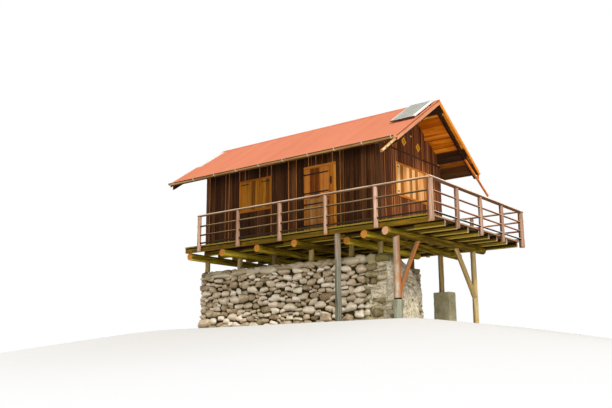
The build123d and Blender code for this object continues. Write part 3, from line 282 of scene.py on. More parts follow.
def piece(name, parts, materials, slot, body="cabin", node=None):
    """Put rows of rings into one mesh: four-cornered faces join each ring to the next, and one
    flat face closes each end. The grain place and the tone of each part go along as attributes.
    Logs and stones are shaded smooth."""
    verts, grains, tones, loops, totals, slots, soft = [], [], [], [], [], [], []
    base = 0
    for rings, grain, tone, cap in parts:
        n, s, p, _ = rings.shape
        index = base + np.arange(n * s * p).reshape(n, s, p)
        a, b = index[:, :-1, :], index[:, 1:, :]
        quads = np.stack([a, np.roll(a, -1, 2), np.roll(b, -1, 2), b], -1).reshape(-1, 4)
        ends = np.concatenate([index[:, 0, ::-1], index[:, -1, :]])
        verts.append(rings.reshape(-1, 3))
        grains.append(grain.reshape(-1, 3))
        tones.append(np.repeat(tone, s * p))
        loops += [quads.ravel(), ends.ravel()]
        totals += [np.full(len(quads), 4), np.full(len(ends), p)]
        slots += [np.zeros(len(quads), int), np.full(len(ends), cap)]
        soft += [np.ones(len(quads), bool), np.zeros(len(ends), bool)]
        base += n * s * p
    verts, loops, totals = np.concatenate(verts), np.concatenate(loops), np.concatenate(totals)
    mesh = bpy.data.meshes.new(name)
    mesh.vertices.add(len(verts))
    mesh.vertices.foreach_set("co", verts.ravel())
    mesh.loops.add(len(loops))
    mesh.loops.foreach_set("vertex_index", loops.astype(np.int32))
    mesh.polygons.add(len(totals))
    mesh.polygons.foreach_set("loop_start", (np.cumsum(totals) - totals).astype(np.int32))
    mesh.polygons.foreach_set("loop_total", totals.astype(np.int32))
    for m in materials:
        mesh.materials.append(m)
    mesh.polygons.foreach_set("material_index", np.concatenate(slots).astype(np.int32))
    mesh.polygons.foreach_set("use_smooth", np.concatenate(soft) & (slot in ROUND_SLOTS))
    for key, kind, field, values in (("grain", "FLOAT_VECTOR", "vector", grains),
                                     ("tone", "FLOAT", "value", tones)):
        mesh.attributes.new(key, kind, "POINT").data.foreach_set(field, np.concatenate(values).ravel())
    mesh.update()
    mesh.validate()
    made = placed(name, mesh)
    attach(made, body)
    if node:
        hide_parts(node)
    return made


def recolour(made, test, slot):
    """Give the faces whose middles pass the test another of the piece's materials."""
    mesh = made.data
    slots = np.zeros(len(mesh.polygons), np.int32)
    mesh.polygons.foreach_get("material_index", slots)
    centre = np.zeros(3 * len(slots))
    mesh.polygons.foreach_get("center", centre)
    slots[test(centre.reshape(-1, 3)) & (slots == 0)] = slot
    mesh.polygons.foreach_set("material_index", slots)


# Finishes. Colours are given in thousandths of red, green and blue.

def rgba(colour):
    """A colour in thousandths as Blender's four numbers."""
    return (*(c / 1000 for c in colour), 1.0)


def darker(colour, share):
    """The colour times a share."""
    return tuple(share * c for c in colour)


class Finish:
    """A material's node tree, written as calls that return sockets."""

    def __init__(self, name, rough=0.8, shine=0.10, metal=0.0):
        self.material = bpy.data.materials.new(name)
        self.material.use_nodes = True
        self.tree = self.material.node_tree
        self.tree.nodes.clear()
        self.shader = self.tree.nodes.new("ShaderNodeBsdfPrincipled")
        for key, value in (("Roughness", rough), ("Specular IOR Level", shine), ("Metallic", metal)):
            self.shader.inputs[key].default_value = value
        self.out = self.tree.nodes.new("ShaderNodeOutputMaterial")
        self.tree.links.new(self.shader.outputs[0], self.out.inputs[0])

    def put(self, socket, value):
        """Link a socket to another one, or set its constant."""
        if isinstance(value, bpy.types.NodeSocket):
            self.tree.links.new(value, socket)
        else:
            socket.default_value = rgba(value) if socket.type == "RGBA" else value

    def add(self, kind, inputs, output=0, **settings):
        n = self.tree.nodes.new(kind)
        for key, value in settings.items():
            setattr(n, key, value)
        for key, value in inputs.items():
            self.put(n.inputs[key], value)
        return n.outputs[output]

    def place(self):
        return self.add("ShaderNodeTexCoord", {}, "Object")

    def attribute(self, name, output="Vector"):
        return self.add("ShaderNodeAttribute", {}, output, attribute_name=name)

    def scaled(self, vector, scale, turn=(0, 0, 0)):
        return self.add("ShaderNodeMapping", {"Vector": vector, "Scale": scale, "Rotation": turn})

    def noise(self, vector, scale, detail, roughness=0.6, warp=0.0):
        inputs = dict(zip(("Vector", "Scale", "Detail", "Roughness", "Distortion"),
                          (vector, scale, detail, roughness, warp)))
        return self.add("ShaderNodeTexNoise", inputs, "Fac")

    def streaks(self, vector, scale, *settings):
        """Noise with its own scale along each axis."""
        return self.noise(self.scaled(vector, scale), 1.0, *settings)

    def cells(self, vector, scale):
        """Distance from the nearest of many random points."""
        return self.add("ShaderNodeTexVoronoi", {"Vector": vector, "Scale": scale}, "Distance")

    def ramp(self, value, stops):
        n = self.tree.nodes.new("ShaderNodeValToRGB")
        self.put(n.inputs[0], value)
        el = n.color_ramp.elements
        while len(el) < len(stops):
            el.new(0.5)
        for e, (at, colour) in zip(el, stops):
            e.position = at
            e.color = rgba(colour)
        return n.outputs[0]

    def shades(self, value, dark, mid, light, reach=0.16):
        """Three colours around the middle value; the smaller reach, the harder their contrast."""
        return self.ramp(value, [(0.5 - reach, dark), (0.5, mid), (0.5 + reach, light)])

    def shares(self, value, stops):
        """A share from 0 to 1 that runs evenly between rows of (value, share)."""
        return self.ramp(value, [(at, 3 * (1000 * share,)) for at, share in stops])

    def band(self, value, low, high, to_low=0.0, to_high=1.0):
        return self.add("ShaderNodeMapRange", {"Value": value, "From Min": low, "From Max": high,
                                               "To Min": to_low, "To Max": to_high})

    def mix(self, fac, a, b):
        return self.add("ShaderNodeMix", {0: fac, 6: a, 7: b}, 2, data_type="RGBA")

    def maths(self, operation, a, b=0.0, c=0.0):
        return self.add("ShaderNodeMath", {0: a, 1: b, 2: c}, operation=operation)

    times = partialmethod(maths, "MULTIPLY")
    times_add = partialmethod(maths, "MULTIPLY_ADD")
    plus = partialmethod(maths, "ADD")
    less = partialmethod(maths, "SUBTRACT")
    most = partialmethod(maths, "MAXIMUM")
    size = partialmethod(maths, "ABSOLUTE")
    root = partialmethod(maths, "SQRT")

    def folded(self, value, pitch):
        """Share of the way from the edge to the middle of each pitch, from 0 to a half."""
        return self.maths("PINGPONG", self.maths("DIVIDE", value, pitch), 0.5)

    def parts(self, vector):
        n = self.tree.nodes.new("ShaderNodeSeparateXYZ")
        self.put(n.inputs[0], vector)
        return n.outputs[0], n.outputs[1], n.outputs[2]

    def facing(self, way, low, high):
        """0 to 1 as the cosine between the surface normal and a direction goes from low to high."""
        normal = self.add("ShaderNodeNewGeometry", {}, "Normal")
        inputs = {0: normal, 1: tuple(unit(way))}
        return self.band(self.add("ShaderNodeVectorMath", inputs, "Value", operation="DOT_PRODUCT"), low, high)

    def done(self, colour, height=None, depth=0.0):
        """The material in its colour, with bumps where a height is given."""
        self.put(self.shader.inputs["Base Color"], colour)
        if height:
            bumped = self.add("ShaderNodeBump", {"Height": height, "Distance": depth}, "Normal")
            self.put(self.shader.inputs["Normal"], bumped)
        return self.material


# Lengths that this file and the CAD solids share: corner boards, their thickness, where the gable's
# band and the long walls' boards end above the floor, barge boards, how far a stone wall's face
# leans back and its thickness on top, a railing post's radius, and its line from the deck's edge
CORNER_BOARD, TRIM_THICK, BAND_UP, EAVE_WALL = 0.13, 0.020, 2.39, 2.62
BARGE_DEEP, BARGE_THICK, FACE_BATTER, WALL_THICK = 0.145, 0.0247, 0.11, 0.55
RAIL_POST, RAIL_EDGE = 0.066, 0.09

# Lengths that follow from the CAD boxes
floor = limits("front_walkway")[1][2]
wall_high = limits("gable_wall_deck")[1]
gable_x, half = wall_high[0], wall_high[1]
far_x, front = limits("gable_wall_far")[0][0], -half
roof_low, roof_high = limits("roof_front")
roof_left, roof_right = roof_low[0], roof_high[0]
ridge, eave_y, thick = roof_high[2], -roof_low[1], 0.09
under = ridge - thick / COS
slope_length = eave_y / COS
joist_low, joist_high = limits("joists")
pier_top = limits("front_pier")[1][2]
post_foot, post_top = limits("railing_posts")[0][2], limits("railing_posts")[1][2]
stone_top = limits("stone_walls")[1][2]


# Sides of a piece: a direction, and the cosines to it where a colour begins and is in full. The
# colours laid on by these sides are mostly painted light and painted shade.
UNDER, BELLY = ((0, 0, -1), -0.15, 0.55), ((0, 0, -1), 0.80, 1.0)
UPPER, EDGE, CREST = ((0, 0, 1), -0.10, 0.30), ((0, 0, 1), 0.25, 0.55), ((0, 0, 1), 0.15, 0.40)
LEE, SHADY = ((-0.85, -0.53, 0), 0.25, 0.80), ((-0.85, -0.53, 0), 0.45, 0.85)
SUNNY, FRONT, RIGHT = ((0.85, 0.53, 0), 0.10, 0.55), ((0, -1, 0), 0.5, 0.8), ((1, 0, 0), 0.5, 0.8)
BRACE_UNDER, BRACE_UPPER = ((0.64, 0.49, -0.59), -0.05, 0.30), ((-0.64, -0.49, 0.59), 0.0, 0.5)


def timber(name, dark, mid, light, rough=0.82, tone=0.25, fibre=34.0, depth=0.0025, patch=None,
           share=0.5, patch_scale=2.2, sides=(), beyond=None, bands=None, reach=0.16):
    """Boards and logs: long fibres of noise stretched along the grain, shifted by each board's own
    tone; the smaller reach, the harder their contrast. patch lays a second colour in cloudy areas;
    sides holds (direction, low, high), colour and strength, for a colour laid on where a face looks
    that way, on most pieces painted light and painted shade; beyond holds an axis, two distances from
    its zero, and the colour past them with its strength; bands holds an axis, rows of (distance from
    its zero, share) and the colour laid on by that share. beyond and bands mostly carry painted shade
    and painted highlights."""
    f = Finish(name, rough)
    grain = f.attribute("grain")
    board = f.attribute("tone", "Fac")
    fibres = f.streaks(grain, (0.9, fibre, fibre), 7.0, 0.68, 0.6)
    broad = f.streaks(grain, (0.35, 5.0, 5.0), 4.0, 0.6, 0.4)
    value = f.times_add(fibres, 0.66, f.times(broad, 0.34))
    value = f.times_add(f.less(board, 0.5), tone, value)
    colour = f.shades(value, dark, mid, light, reach)
    if patch:
        cloud = f.noise(f.place(), patch_scale, 5.0, 0.65)
        inside = f.band(cloud, 0.62 - 0.3 * share, 0.72 - 0.3 * share)
        colour = f.mix(inside, colour, f.mix(0.45, patch, colour))
    for (way, low, high), second, strength in sides:
        colour = f.mix(f.facing(way, low, high), colour, f.mix(strength, colour, second))
    if beyond:
        axis, low, high, second, strength = beyond
        away = f.band(f.size(f.parts(f.place())[axis]), low, high, 0.0, strength)
        colour = f.mix(away, colour, second)
    if bands:
        axis, stops, second = bands
        away = f.times(f.size(f.parts(f.place())[axis]), 0.25)
        colour = f.mix(f.shares(away, [(at / 4, share) for at, share in stops]), colour, second)
    return f.done(colour, f.times_add(fibres, 0.8, f.times(broad, 0.6)), depth)


def log_end(name, dark, light):
    """A sawn end: growth rings are a sine of the distance from the middle, nudged by noise, with
    darker checks running out from the middle."""
    f = Finish(name, 0.85)
    x, y, z = f.parts(f.attribute("grain"))
    flat = f.add("ShaderNodeCombineXYZ", {"Y": y, "Z": z})
    wobble = f.noise(flat, 14.0, 3.0)
    radius = f.root(f.plus(f.times(y, y), f.times(z, z)))
    rings = f.maths("SINE", f.times_add(radius, 330.0, f.times(wobble, 14.0)))
    around = f.add("ShaderNodeCombineXYZ", {"X": f.times(f.maths("ARCTAN2", y, z), 2.2)})
    checks = f.noise(around, 2.0, 4.0, 0.7)
    colour = f.mix(f.band(rings, -1.0, 1.0, 0.0, 0.55), light, dark)
    colour = f.mix(f.band(checks, 0.40, 0.30), colour, darker(dark, 0.25))
    return f.done(colour, rings, 0.0008)


def plain(name, colour, second, rough=0.5, metal=0.0, scale=8.0):
    """Metal and paint: one colour, softly mottled by noise towards the second one."""
    f = Finish(name, rough, 0.3, metal)
    cloud = f.noise(f.place(), scale, 5.0, 0.65)
    return f.done(f.mix(f.band(cloud, 0.42, 0.68), colour, second), cloud, 0.0006)


def stone_finish(name, dark, mid, light, moss, scale=5.0, tone=0.5, green=0.9, spread=0.08,
                 moss_and_shade_from=None):
    """Rubble: each stone takes its own tone, with fine speckle, cloudy stains of noise and moss
    where it faces up, and everywhere from a given height up, where the moss colour stands for moss
    and, on the dry stone walls, for painted shade over their top. Faces that look down turn darker
    as painted shade."""
    f = Finish(name, 0.92, 0.06)
    own = f.attribute("grain")
    cloud = f.noise(own, scale, 6.0, 0.65)
    speck = f.noise(own, scale * 9.0, 4.0, 0.7)
    value = f.times_add(speck, 0.5, f.times(cloud, 0.5))
    value = f.times_add(f.less(f.attribute("tone", "Fac"), 0.5), tone, value)
    colour = f.ramp(value, [(0.32, dark), (0.48, mid), (0.66, light)])
    # Painted shade: faces that look down turn darker.
    shade = f.mix(0.75, colour, darker(dark, 0.6))
    colour = f.mix(f.facing((0, 0, -1), -0.05, 0.70), colour, shade)
    stain = f.noise(f.place(), 1.7, 5.0, 0.7)
    upward = f.times_add(f.facing((0, 0, 1), 0.1, 0.8), green, spread)
    cover = f.times(f.band(stain, 0.46, 0.62), upward)
    # From the given height up the moss colour is laid on: moss, and on the dry stone walls painted shade over
    # their top.
    if moss_and_shade_from:
        height = f.times_add(cloud, 0.5, f.parts(f.place())[2])
        cover = f.most(cover, f.band(height, moss_and_shade_from + 0.25, moss_and_shade_from + 0.55, 0.0, 0.65))
    return f.done(f.mix(cover, colour, moss), f.times_add(speck, 0.35, cloud), 0.022)


def mortar_finish(low, high):
    """Pale mortar full of pebbles: cells of two sizes give light pebbles with dark rims, noise
    gives pits and stains, and the upper part turns to greenish grey moss."""
    f = Finish("pebbly_pale_mortar", 0.93, 0.06)
    own = f.place()
    cloud = f.noise(own, 3.2, 6.0, 0.7)
    pits = f.noise(own, 34.0, 5.0, 0.75)
    colour = f.ramp(f.times_add(pits, 0.55, f.times(cloud, 0.45)), [
        (0.34, (200, 150, 70)), (0.42, (560, 480, 310)), (0.52, (860, 760, 560)),
        (0.62, (1000, 950, 800))])
    for scale, share in ((9.0, 0.40), (21.0, 0.34)):
        rim = f.band(f.cells(own, scale), 0.50, 0.72)
        colour = f.mix(f.times(rim, share), colour, (130, 95, 40))
    height = f.parts(own)[2]
    upper = f.band(f.times_add(cloud, 0.9, height), low + 0.35, high + 0.35)
    moss = f.ramp(pits, [(0.38, (35, 31, 7)), (0.62, (210, 180, 55))])
    colour = f.mix(f.times(upper, 0.92), colour, moss)
    return f.done(colour, f.less(f.times_add(pits, 0.6, cloud), f.cells(own, 9.0)), 0.030)


def board_panel(name, dark, mid, light, axis, pitch, fibre):
    """Flat panels shown as boards: the place along the given axis, folded at each board's width,
    draws the joints, and noise stretched along the boards draws the fibres."""
    f = Finish(name, 0.75)
    place = f.place()
    fold = f.folded(f.parts(place)[axis], pitch)
    fibres = f.streaks(place, fibre, 6.0, 0.65)
    colour = f.shades(fibres, dark, mid, light)
    joint = f.band(fold, 0.03, 0.012)
    return f.done(f.mix(joint, colour, darker(dark, 0.25)), f.less(fibres, f.times(joint, 2.0)), 0.0015)


def roof_finish():
    """Roof covering: an even salmon red, with slow streaks down the slope, thin darker lines
    across and fine grit."""
    f = Finish("salmon_roof_cover", 0.9, 0.08)
    place = f.scaled(f.place(), (1, 1, 1), (-PITCH, 0, 0))
    streak = f.streaks(place, (2.4, 0.28, 1.0), 5.0, 0.6)
    lines = f.streaks(place, (0.35, 7.0, 1.0), 4.0, 0.6)
    grit = f.noise(f.place(), 120.0, 2.0)
    near = f.band(f.parts(place)[0], 1.2, 3.8, 0.0, 0.6)
    colour = f.ramp(streak, [(0.34, (675, 208, 108)), (0.5, (720, 228, 120)), (0.68, (765, 252, 138))])
    colour = f.mix(f.band(lines, 0.62, 0.76, 0.0, 0.35), colour, (440, 130, 65))
    colour = f.mix(near, colour, (740, 252, 130))
    colour = f.mix(f.band(grit, 0.45, 0.7, 0.0, 0.30), colour, (900, 420, 280))
    return f.done(colour, grit, 0.0012)


def panel_finish(right):
    """Solar cells: pale grey green squares, a painted reflection of the sky, with pale lines between
    them, on coordinates turned to lie along the slope, and a white strip along the deck edge."""
    f = Finish("solar_cells", 0.35, 0.3)
    place = f.scaled(f.place(), (1, 1, 1), (-PITCH, 0, 0))
    x, y, z = f.parts(place)
    pitch, thin, lines = 0.125, 0.085, 0.0
    for value in (x, y):
        lines = f.most(lines, f.band(f.folded(value, pitch), thin, thin * 0.55))
    # The cells' pale grey green is a painted reflection of the sky.
    cell = f.ramp(f.noise(place, 5.0, 4.0), [(0.34, (100, 110, 85)), (0.66, (260, 265, 205))])
    colour = f.mix(f.times(lines, 0.85), cell, (800, 780, 660))
    f.shader.inputs["Coat Weight"].default_value = 0.15
    f.shader.inputs["Coat Roughness"].default_value = 0.2
    return f.done(f.mix(f.band(x, right - 0.085, right - 0.075), colour, (920, 910, 860)))


def edge_finish():
    """The panel's edge: white metal, dark brown on its lower side as painted shade."""
    f = Finish("panel_edge", 0.45, 0.3)
    return f.done(f.mix(f.facing((0, -COS, -SIN), 0.5, 0.8), (860, 850, 800), (120, 60, 35)))


def ornament_finish(middle, knob):
    """Painted lozenges: rings of the sum of sideways and upward distance from each middle give an
    ochre edge, an orange brown field and a small ochre heart; the round knob above is pale."""
    f = Finish("painted_lozenge", 0.6)
    x, y, z = f.parts(f.place())
    side = f.size(f.less(f.size(y), 0.42))
    ring = f.plus(side, f.size(f.less(z, middle)))
    paint = f.noise(f.place(), 40.0, 3.0)
    edge = f.ramp(paint, [(0.3, (850, 330, 10)), (0.7, (1000, 550, 40))])
    field = f.ramp(paint, [(0.3, (300, 80, 4)), (0.7, (500, 160, 12))])
    colour = f.mix(f.band(ring, 0.072, 0.080), field, edge)
    colour = f.mix(f.band(ring, 0.040, 0.030), colour, edge)
    return f.done(f.mix(f.band(z, knob - 0.05, knob - 0.04), colour, (920, 880, 800)))


def roof_beam_finish(ridge):
    """Plates, purlins and ridge beam: long fibres along X; purlins orange brown, plates and
    ridge beam dark, painted shade under the roof."""
    f = Finish("roof_beam_timber", 0.75)
    place = f.place()
    fibres = f.streaks(place, (0.8, 26, 26), 6.0, 0.65)
    warm = f.shades(fibres, (450, 100, 3), (860, 250, 12), (1000, 420, 50))
    # Painted shade: the low plates are near black.
    tan = f.shades(fibres, (15, 6, 2), (45, 18, 7), (100, 45, 20))
    z = f.parts(place)[2]
    colour = f.mix(f.band(z, ridge - 1.2, ridge - 1.1), tan, warm)
    # Painted shade: the ridge beam at the top is near black.
    return f.done(f.mix(f.band(z, ridge - 0.40, ridge - 0.36), colour, (40, 15, 5)), fibres, 0.0015)


def barge_finish(ridge):
    """Barge boards: salmon on the door side and bright orange behind, long fibres down the slope,
    a dark line under the roof edge on the door side, which is a painted shadow, a pale line there
    behind, and a pale lower edge. d = ridge - |y| tan(pitch) - z."""
    f = Finish("painted_barge_board", 0.7)
    place = f.place()
    x, y, z = f.parts(place)
    d = f.less(f.times_add(f.size(y), -TAN, ridge), z)
    along = f.times(f.size(y), 1.3)
    grain = f.add("ShaderNodeCombineXYZ", {"X": along, "Y": f.times(d, 38.0), "Z": x})
    fibres = f.noise(grain, 1.0, 6.0, 0.65)
    salmon = f.shades(fibres, (500, 155, 60), (720, 265, 120), (860, 400, 220))
    orange = f.shades(fibres, (500, 130, 6), (820, 270, 18), (950, 440, 70))
    behind = f.band(y, -0.01, 0.01)
    colour = f.mix(behind, salmon, orange)
    # Under the roof edge: a painted shadow line on the door side, a pale line behind.
    colour = f.mix(f.band(d, 0.034, 0.024), colour, f.mix(behind, (300, 85, 35), (900, 600, 460)))
    low_edge = f.mix(behind, (740, 520, 380), (900, 320, 30))
    return f.done(f.mix(f.band(d, 0.128, 0.136), colour, low_edge), fibres, 0.002)


def gutter_finish(right):
    """Gutters: old golden brown metal with long streaks, a dark band along the outer side and a
    pinkish orange piece at the deck end."""
    f = Finish("golden_brown_gutter", 0.6, 0.25)
    place = f.place()
    streak = f.streaks(place, (0.6, 30, 30), 5.0, 0.65)
    colour = f.shades(streak, (200, 90, 18), (480, 270, 85), (780, 530, 230))
    side = f.shares(f.facing((0, 0, -1), 0.0, 1.0), [(0.06, 0), (0.14, 1), (0.44, 1), (0.60, 0)])
    colour = f.mix(side, colour, (60, 26, 10))
    end = f.band(f.parts(place)[0], right - 0.035, right - 0.028)
    return f.done(f.mix(end, colour, (720, 320, 170)), streak, 0.001)


def spout_finish():
    """Spouts: the door-side one ochre with pale streaks, partly wear and partly painted highlight, the
    other orange red, brown where it looks towards the front, which is its lower side, as painted shade.
    """
    f = Finish("painted_spout", 0.55, 0.25)
    place = f.place()
    # The pale streaks are partly wear and partly a painted highlight.
    wear_and_highlight = f.streaks(place, (30, 6, 6), 5.0, 0.7)
    ochre = f.ramp(wear_and_highlight, [(0.38, (420, 160, 20)), (0.5, (700, 360, 90)), (0.62, (950, 780, 520))])
    red = f.ramp(wear_and_highlight, [(0.38, (550, 110, 10)), (0.62, (1000, 330, 30))])
    # Painted shade: the back spout's lower side, which looks towards the front, turns brown.
    red = f.mix(f.facing((0, -1, 0), 0.35, 0.8), red, (340, 85, 22))
    return f.done(f.mix(f.band(f.parts(place)[1], -0.01, 0.01), ochre, red))


end_orange = log_end("sawn_end_orange", (240, 70, 8), (660, 270, 50))
end_pink = log_end("sawn_end_pink", (200, 85, 35), (700, 390, 210))
end_grey = timber("grey_joist_end", (300, 170, 100), (620, 430, 310), (880, 700, 560), fibre=12.0)

# What timbers of one kind have in common
BOARD, LEAF = {"rough": 0.75, "fibre": 44.0}, {"rough": 0.65, "tone": 0.35}
POLE, TOP_POLE = {"depth": 0.003, "fibre": 40.0}, {"depth": 0.004, "fibre": 30.0}
JOIST = {"depth": 0.004, "fibre": 20.0, "reach": 0.10}
LOG = {"depth": 0.006, "fibre": 20.0}

# Beam logs: the belly that looks down turns darker as painted shade.
beam_bark = timber("mossy_beam_log", (90, 48, 2), (380, 265, 13), (780, 600, 50), depth=0.006,
                   fibre=16.0, reach=0.12, patch=(340, 150, 12), share=0.05,
                   sides=[(BELLY, (60, 34, 3), 0.70)])
joist_top = joist_high[2]
# Outer joist: a near black band along its top is a painted shadow under the deck boards' edge; faces looking
# down turn orange brown and faces looking front yellower.
joist_wood = timber("mossy_joist", (50, 22, 1), (340, 225, 14), (840, 660, 65), **JOIST,
                    patch=(420, 140, 10), share=0.32,
                    sides=[(UNDER, (200, 80, 8), 0.80), (FRONT, (170, 130, 10), 0.35)],
                    beyond=(2, joist_top - 0.036, joist_top - 0.028, (8, 5, 1), 0.95))
# Inner joists: a darker copy of the joist finish as painted shade under the deck, near black along their upper
# part as painted shadow of the deck, and bright where they look down as painted light.
inner_joist_wood = timber("inner_joist", (20, 9, 1), (125, 60, 6), (400, 250, 20), **JOIST,
                          sides=[(UNDER, (520, 370, 60), 0.80)],
                          beyond=(2, joist_top - 0.095, joist_top - 0.060, (10, 6, 1), 0.92))
stub_wood = timber("stub_log", (50, 30, 8), (180, 125, 40), (360, 270, 110), depth=0.005, fibre=20.0)
# A near black ring at the front post's foot, where it meets the pier: a painted shadow line.
foot_shadow = [(pier_top, 1.0), (pier_top + 0.035, 1.0), (pier_top + 0.05, 0.0)]
# Front post: orange on the side towards the sun as painted light, darker on the side away from it as painted
# shade.
post_wood = timber("weathered_post_log", (140, 78, 42), (330, 235, 145), (600, 480, 350),
                   depth=0.006, fibre=18.0, patch=(420, 160, 50), share=0.45, patch_scale=3.0,
                   sides=[(SUNNY, (420, 125, 25), 0.80), (LEE, (220, 130, 70), 0.5)],
                   bands=(2, foot_shadow, (15, 9, 4)))
# Rear post and rear brace: darker on the side away from the sun, painted shade.
tan_post_wood = timber("tan_post_log", (170, 95, 30), (420, 290, 105), (660, 500, 240), **LOG,
                       sides=[(LEE, (160, 90, 30), 0.6)])
grey_post_wood = timber("grey_post_log", (50, 46, 32), (190, 185, 135), (400, 400, 340), **LOG,
                        patch=(200, 110, 50), share=0.35, beyond=(2, 1.4, 2.4, (360, 220, 130), 0.5))
stump_wood = timber("pale_grey_stump", (120, 115, 70), (290, 290, 200), (540, 550, 430),
                    depth=0.008, fibre=22.0)
# Front brace: lighter orange where it looks down and right, paler where it looks up and left, both painted
# light on its round sides.
brace_wood = timber("orange_brown_brace", (80, 26, 6), (270, 105, 30), (560, 270, 110),
                    depth=0.005, fibre=22.0,
                    sides=[(BRACE_UNDER, (660, 190, 30), 0.75), (BRACE_UPPER, (420, 250, 160), 0.6)])
# Railing posts: dark on the sides turned away from the sun, painted shade.
rail_post_wood = timber("pink_grey_post", (190, 98, 58), (390, 225, 145), (640, 420, 300),
                        depth=0.006, fibre=24.0, tone=0.08, patch=(340, 160, 90), share=0.10,
                        patch_scale=4.0, sides=[(SHADY, (120, 50, 20), 0.85)])
# Side rails: dark undersides as painted shade, pale tops as painted light.
side_rail_wood = timber("side_rail_pole", (160, 60, 25), (340, 160, 85), (520, 290, 170), **POLE,
                        sides=[(UNDER, (130, 35, 12), 0.85), (UPPER, (800, 530, 400), 0.85)])
# Front rails: near black undersides as painted shade, a pale upper edge as painted highlight.
front_rail_wood = timber("front_rail_pole", (35, 20, 8), (100, 65, 22), (240, 160, 75), **POLE,
                         sides=[(UNDER, (16, 10, 3), 0.8), (EDGE, (520, 320, 170), 0.55)])
# The lowest side pole: near black as painted shade by the deck, with a near white painted highlight along its
# crest.
low_rail_wood = timber("bottom_rail_pole", (10, 6, 2), (25, 14, 7), (50, 30, 15), **POLE,
                       sides=[(UNDER, (4, 3, 1), 1.0), (CREST, (1000, 920, 820), 0.9)])
# The lowest front pole is near black all round: painted shade by the deck.
black_rail_wood = timber("black_bottom_pole", (10, 7, 3), (30, 20, 8), (70, 45, 18), **POLE)
# Back rails: darker undersides, painted shade.
back_rail_wood = timber("back_rail_pole", (200, 50, 10), (480, 160, 35), (800, 340, 100), **POLE,
                        sides=[(UNDER, (100, 30, 8), 0.5)])
# Top poles: dark undersides as painted shade, a pale upper edge as painted highlight.
top_rail_wood = timber("top_rail_pole", (180, 95, 40), (460, 270, 135), (720, 490, 290), **TOP_POLE,
                       sides=[(UNDER, (70, 34, 12), 0.85), (EDGE, (840, 720, 580), 0.8)])
# Half log: a dark underside as painted shade, and a pale line along its top as painted highlight.
half_log_wood = timber("half_log_rail", (200, 85, 35), (420, 215, 105), (660, 390, 220), **TOP_POLE,
                       sides=[(UNDER, (100, 40, 16), 0.8)],
                       beyond=(2, post_top + 0.024, post_top + 0.032, (1000, 860, 770), 0.9))
# Deck planks: near black undersides are painted shade between the joists, pale pink ends facing right are
# painted light, and edges facing front turn olive yellow.
deck_wood = timber("deck_plank", (150, 85, 35), (320, 210, 110), (540, 400, 270), depth=0.002,
                   sides=[(UNDER, (50, 28, 4), 0.95), (FRONT, (260, 190, 18), 0.9),
                          (RIGHT, (860, 480, 300), 0.9)])
# The long walls' boards turn darker near their top: painted shade under the roof's overhang.
wall_wood = timber("dark_wall_board", (14, 4, 0.8), (52, 16.8, 3.8), (180, 70, 24), tone=0.15,
                   beyond=(2, floor + 2.05, floor + 2.36, (10, 4, 2), 0.70), **BOARD)
gable_wood = timber("red_brown_wall_board", (45, 10.5, 2.2), (155, 47, 16), (360, 135, 60),
                    tone=0.18, **BOARD)
trim_wood = timber("corner_board", (20, 6, 2), (70, 25, 8), (170, 70, 30), **BOARD)
batten_wood = timber("joint_strip", (120, 30, 4), (340, 105, 18), (660, 260, 70), rough=0.75, tone=0.5)
door_wood = timber("upper_door_plank", (120, 26, 2), (340, 100, 9), (600, 210, 35), **LEAF)
low_door_wood = timber("lower_door_plank", (130, 35, 5), (320, 125, 26), (560, 270, 85), **LEAF)
frame_wood = timber("orange_frame_board", (270, 75, 5), (500, 165, 16), (780, 330, 50), rough=0.65)
bright_frame_wood = timber("bright_frame_board", (400, 110, 8), (780, 250, 22), (1000, 440, 70),
                           rough=0.65)
shutter_wood = timber("ochre_shutter_board", (130, 40, 1), (320, 115, 6), (520, 210, 18),
                      rough=0.65, tone=0.4)
gable_shutter_wood = timber("honey_shutter_board", (340, 110, 12), (800, 340, 80),
                            (1000, 700, 360), fibre=24.0, **LEAF)
# Painted shade on the soffit: dark bands by the ridge, over the wall plates and under the eaves. Painted light:
# a brighter orange strip outside the verge rafters.
soffit_shade = [(0.0, 1.0), (0.30, 1.0), (0.36, 0.0), (1.50, 0.0), (1.56, 1.0), (1.78, 1.0),
                (1.82, 0.55), (2.04, 0.55), (2.08, 0.93)]
soffit_wood = timber("soffit_board", (500, 110, 2), (1000, 320, 13), (1000, 470, 50), rough=0.65,
                     tone=0.34, fibre=22.0, depth=0.004, patch=(600, 130, 4), share=0.35,
                     beyond=(0, roof_right - 0.087, roof_right - 0.067, (1000, 360, 25), 0.8),
                     bands=(1, soffit_shade, (65, 24, 8)))
eave_wood = timber("eave_board", (45, 14, 3), (130, 50, 14), (260, 120, 40), rough=0.7)

dry_stone = stone_finish("dry_stone", (260, 180, 90), (700, 550, 370), (1000, 880, 700),
                         (170, 135, 45), tone=0.30, moss_and_shade_from=stone_top - 0.30)
pier_stone = stone_finish("stained_pier_stone", (170, 125, 55), (460, 370, 210), (900, 780, 580),
                          (160, 130, 28), tone=0.34, spread=0.3, moss_and_shade_from=stone_top - 0.45)
# The near black core behind the stones: earth in the joints, and painted shade in the gaps between stones.
earth_and_shade_core = stone_finish("joint_earth_and_shade", (10, 6, 1), (30, 20, 4), (70, 50, 15), (30, 30, 5))
concrete = stone_finish("old_concrete", (240, 200, 100), (460, 415, 235), (700, 650, 450),
                        (200, 180, 60), scale=3.0, green=0.3)
iron = plain("black_iron", (8, 6, 5), (22, 15, 10), 0.85)
bracket_metal = plain("pale_bracket", (800, 720, 520), (520, 420, 260))
strip_metal = plain("white_strip", (880, 850, 800), (700, 660, 600), 0.6)
knob_metal = plain("old_brass", (420, 280, 90), (250, 150, 50), 0.4, 0.7)


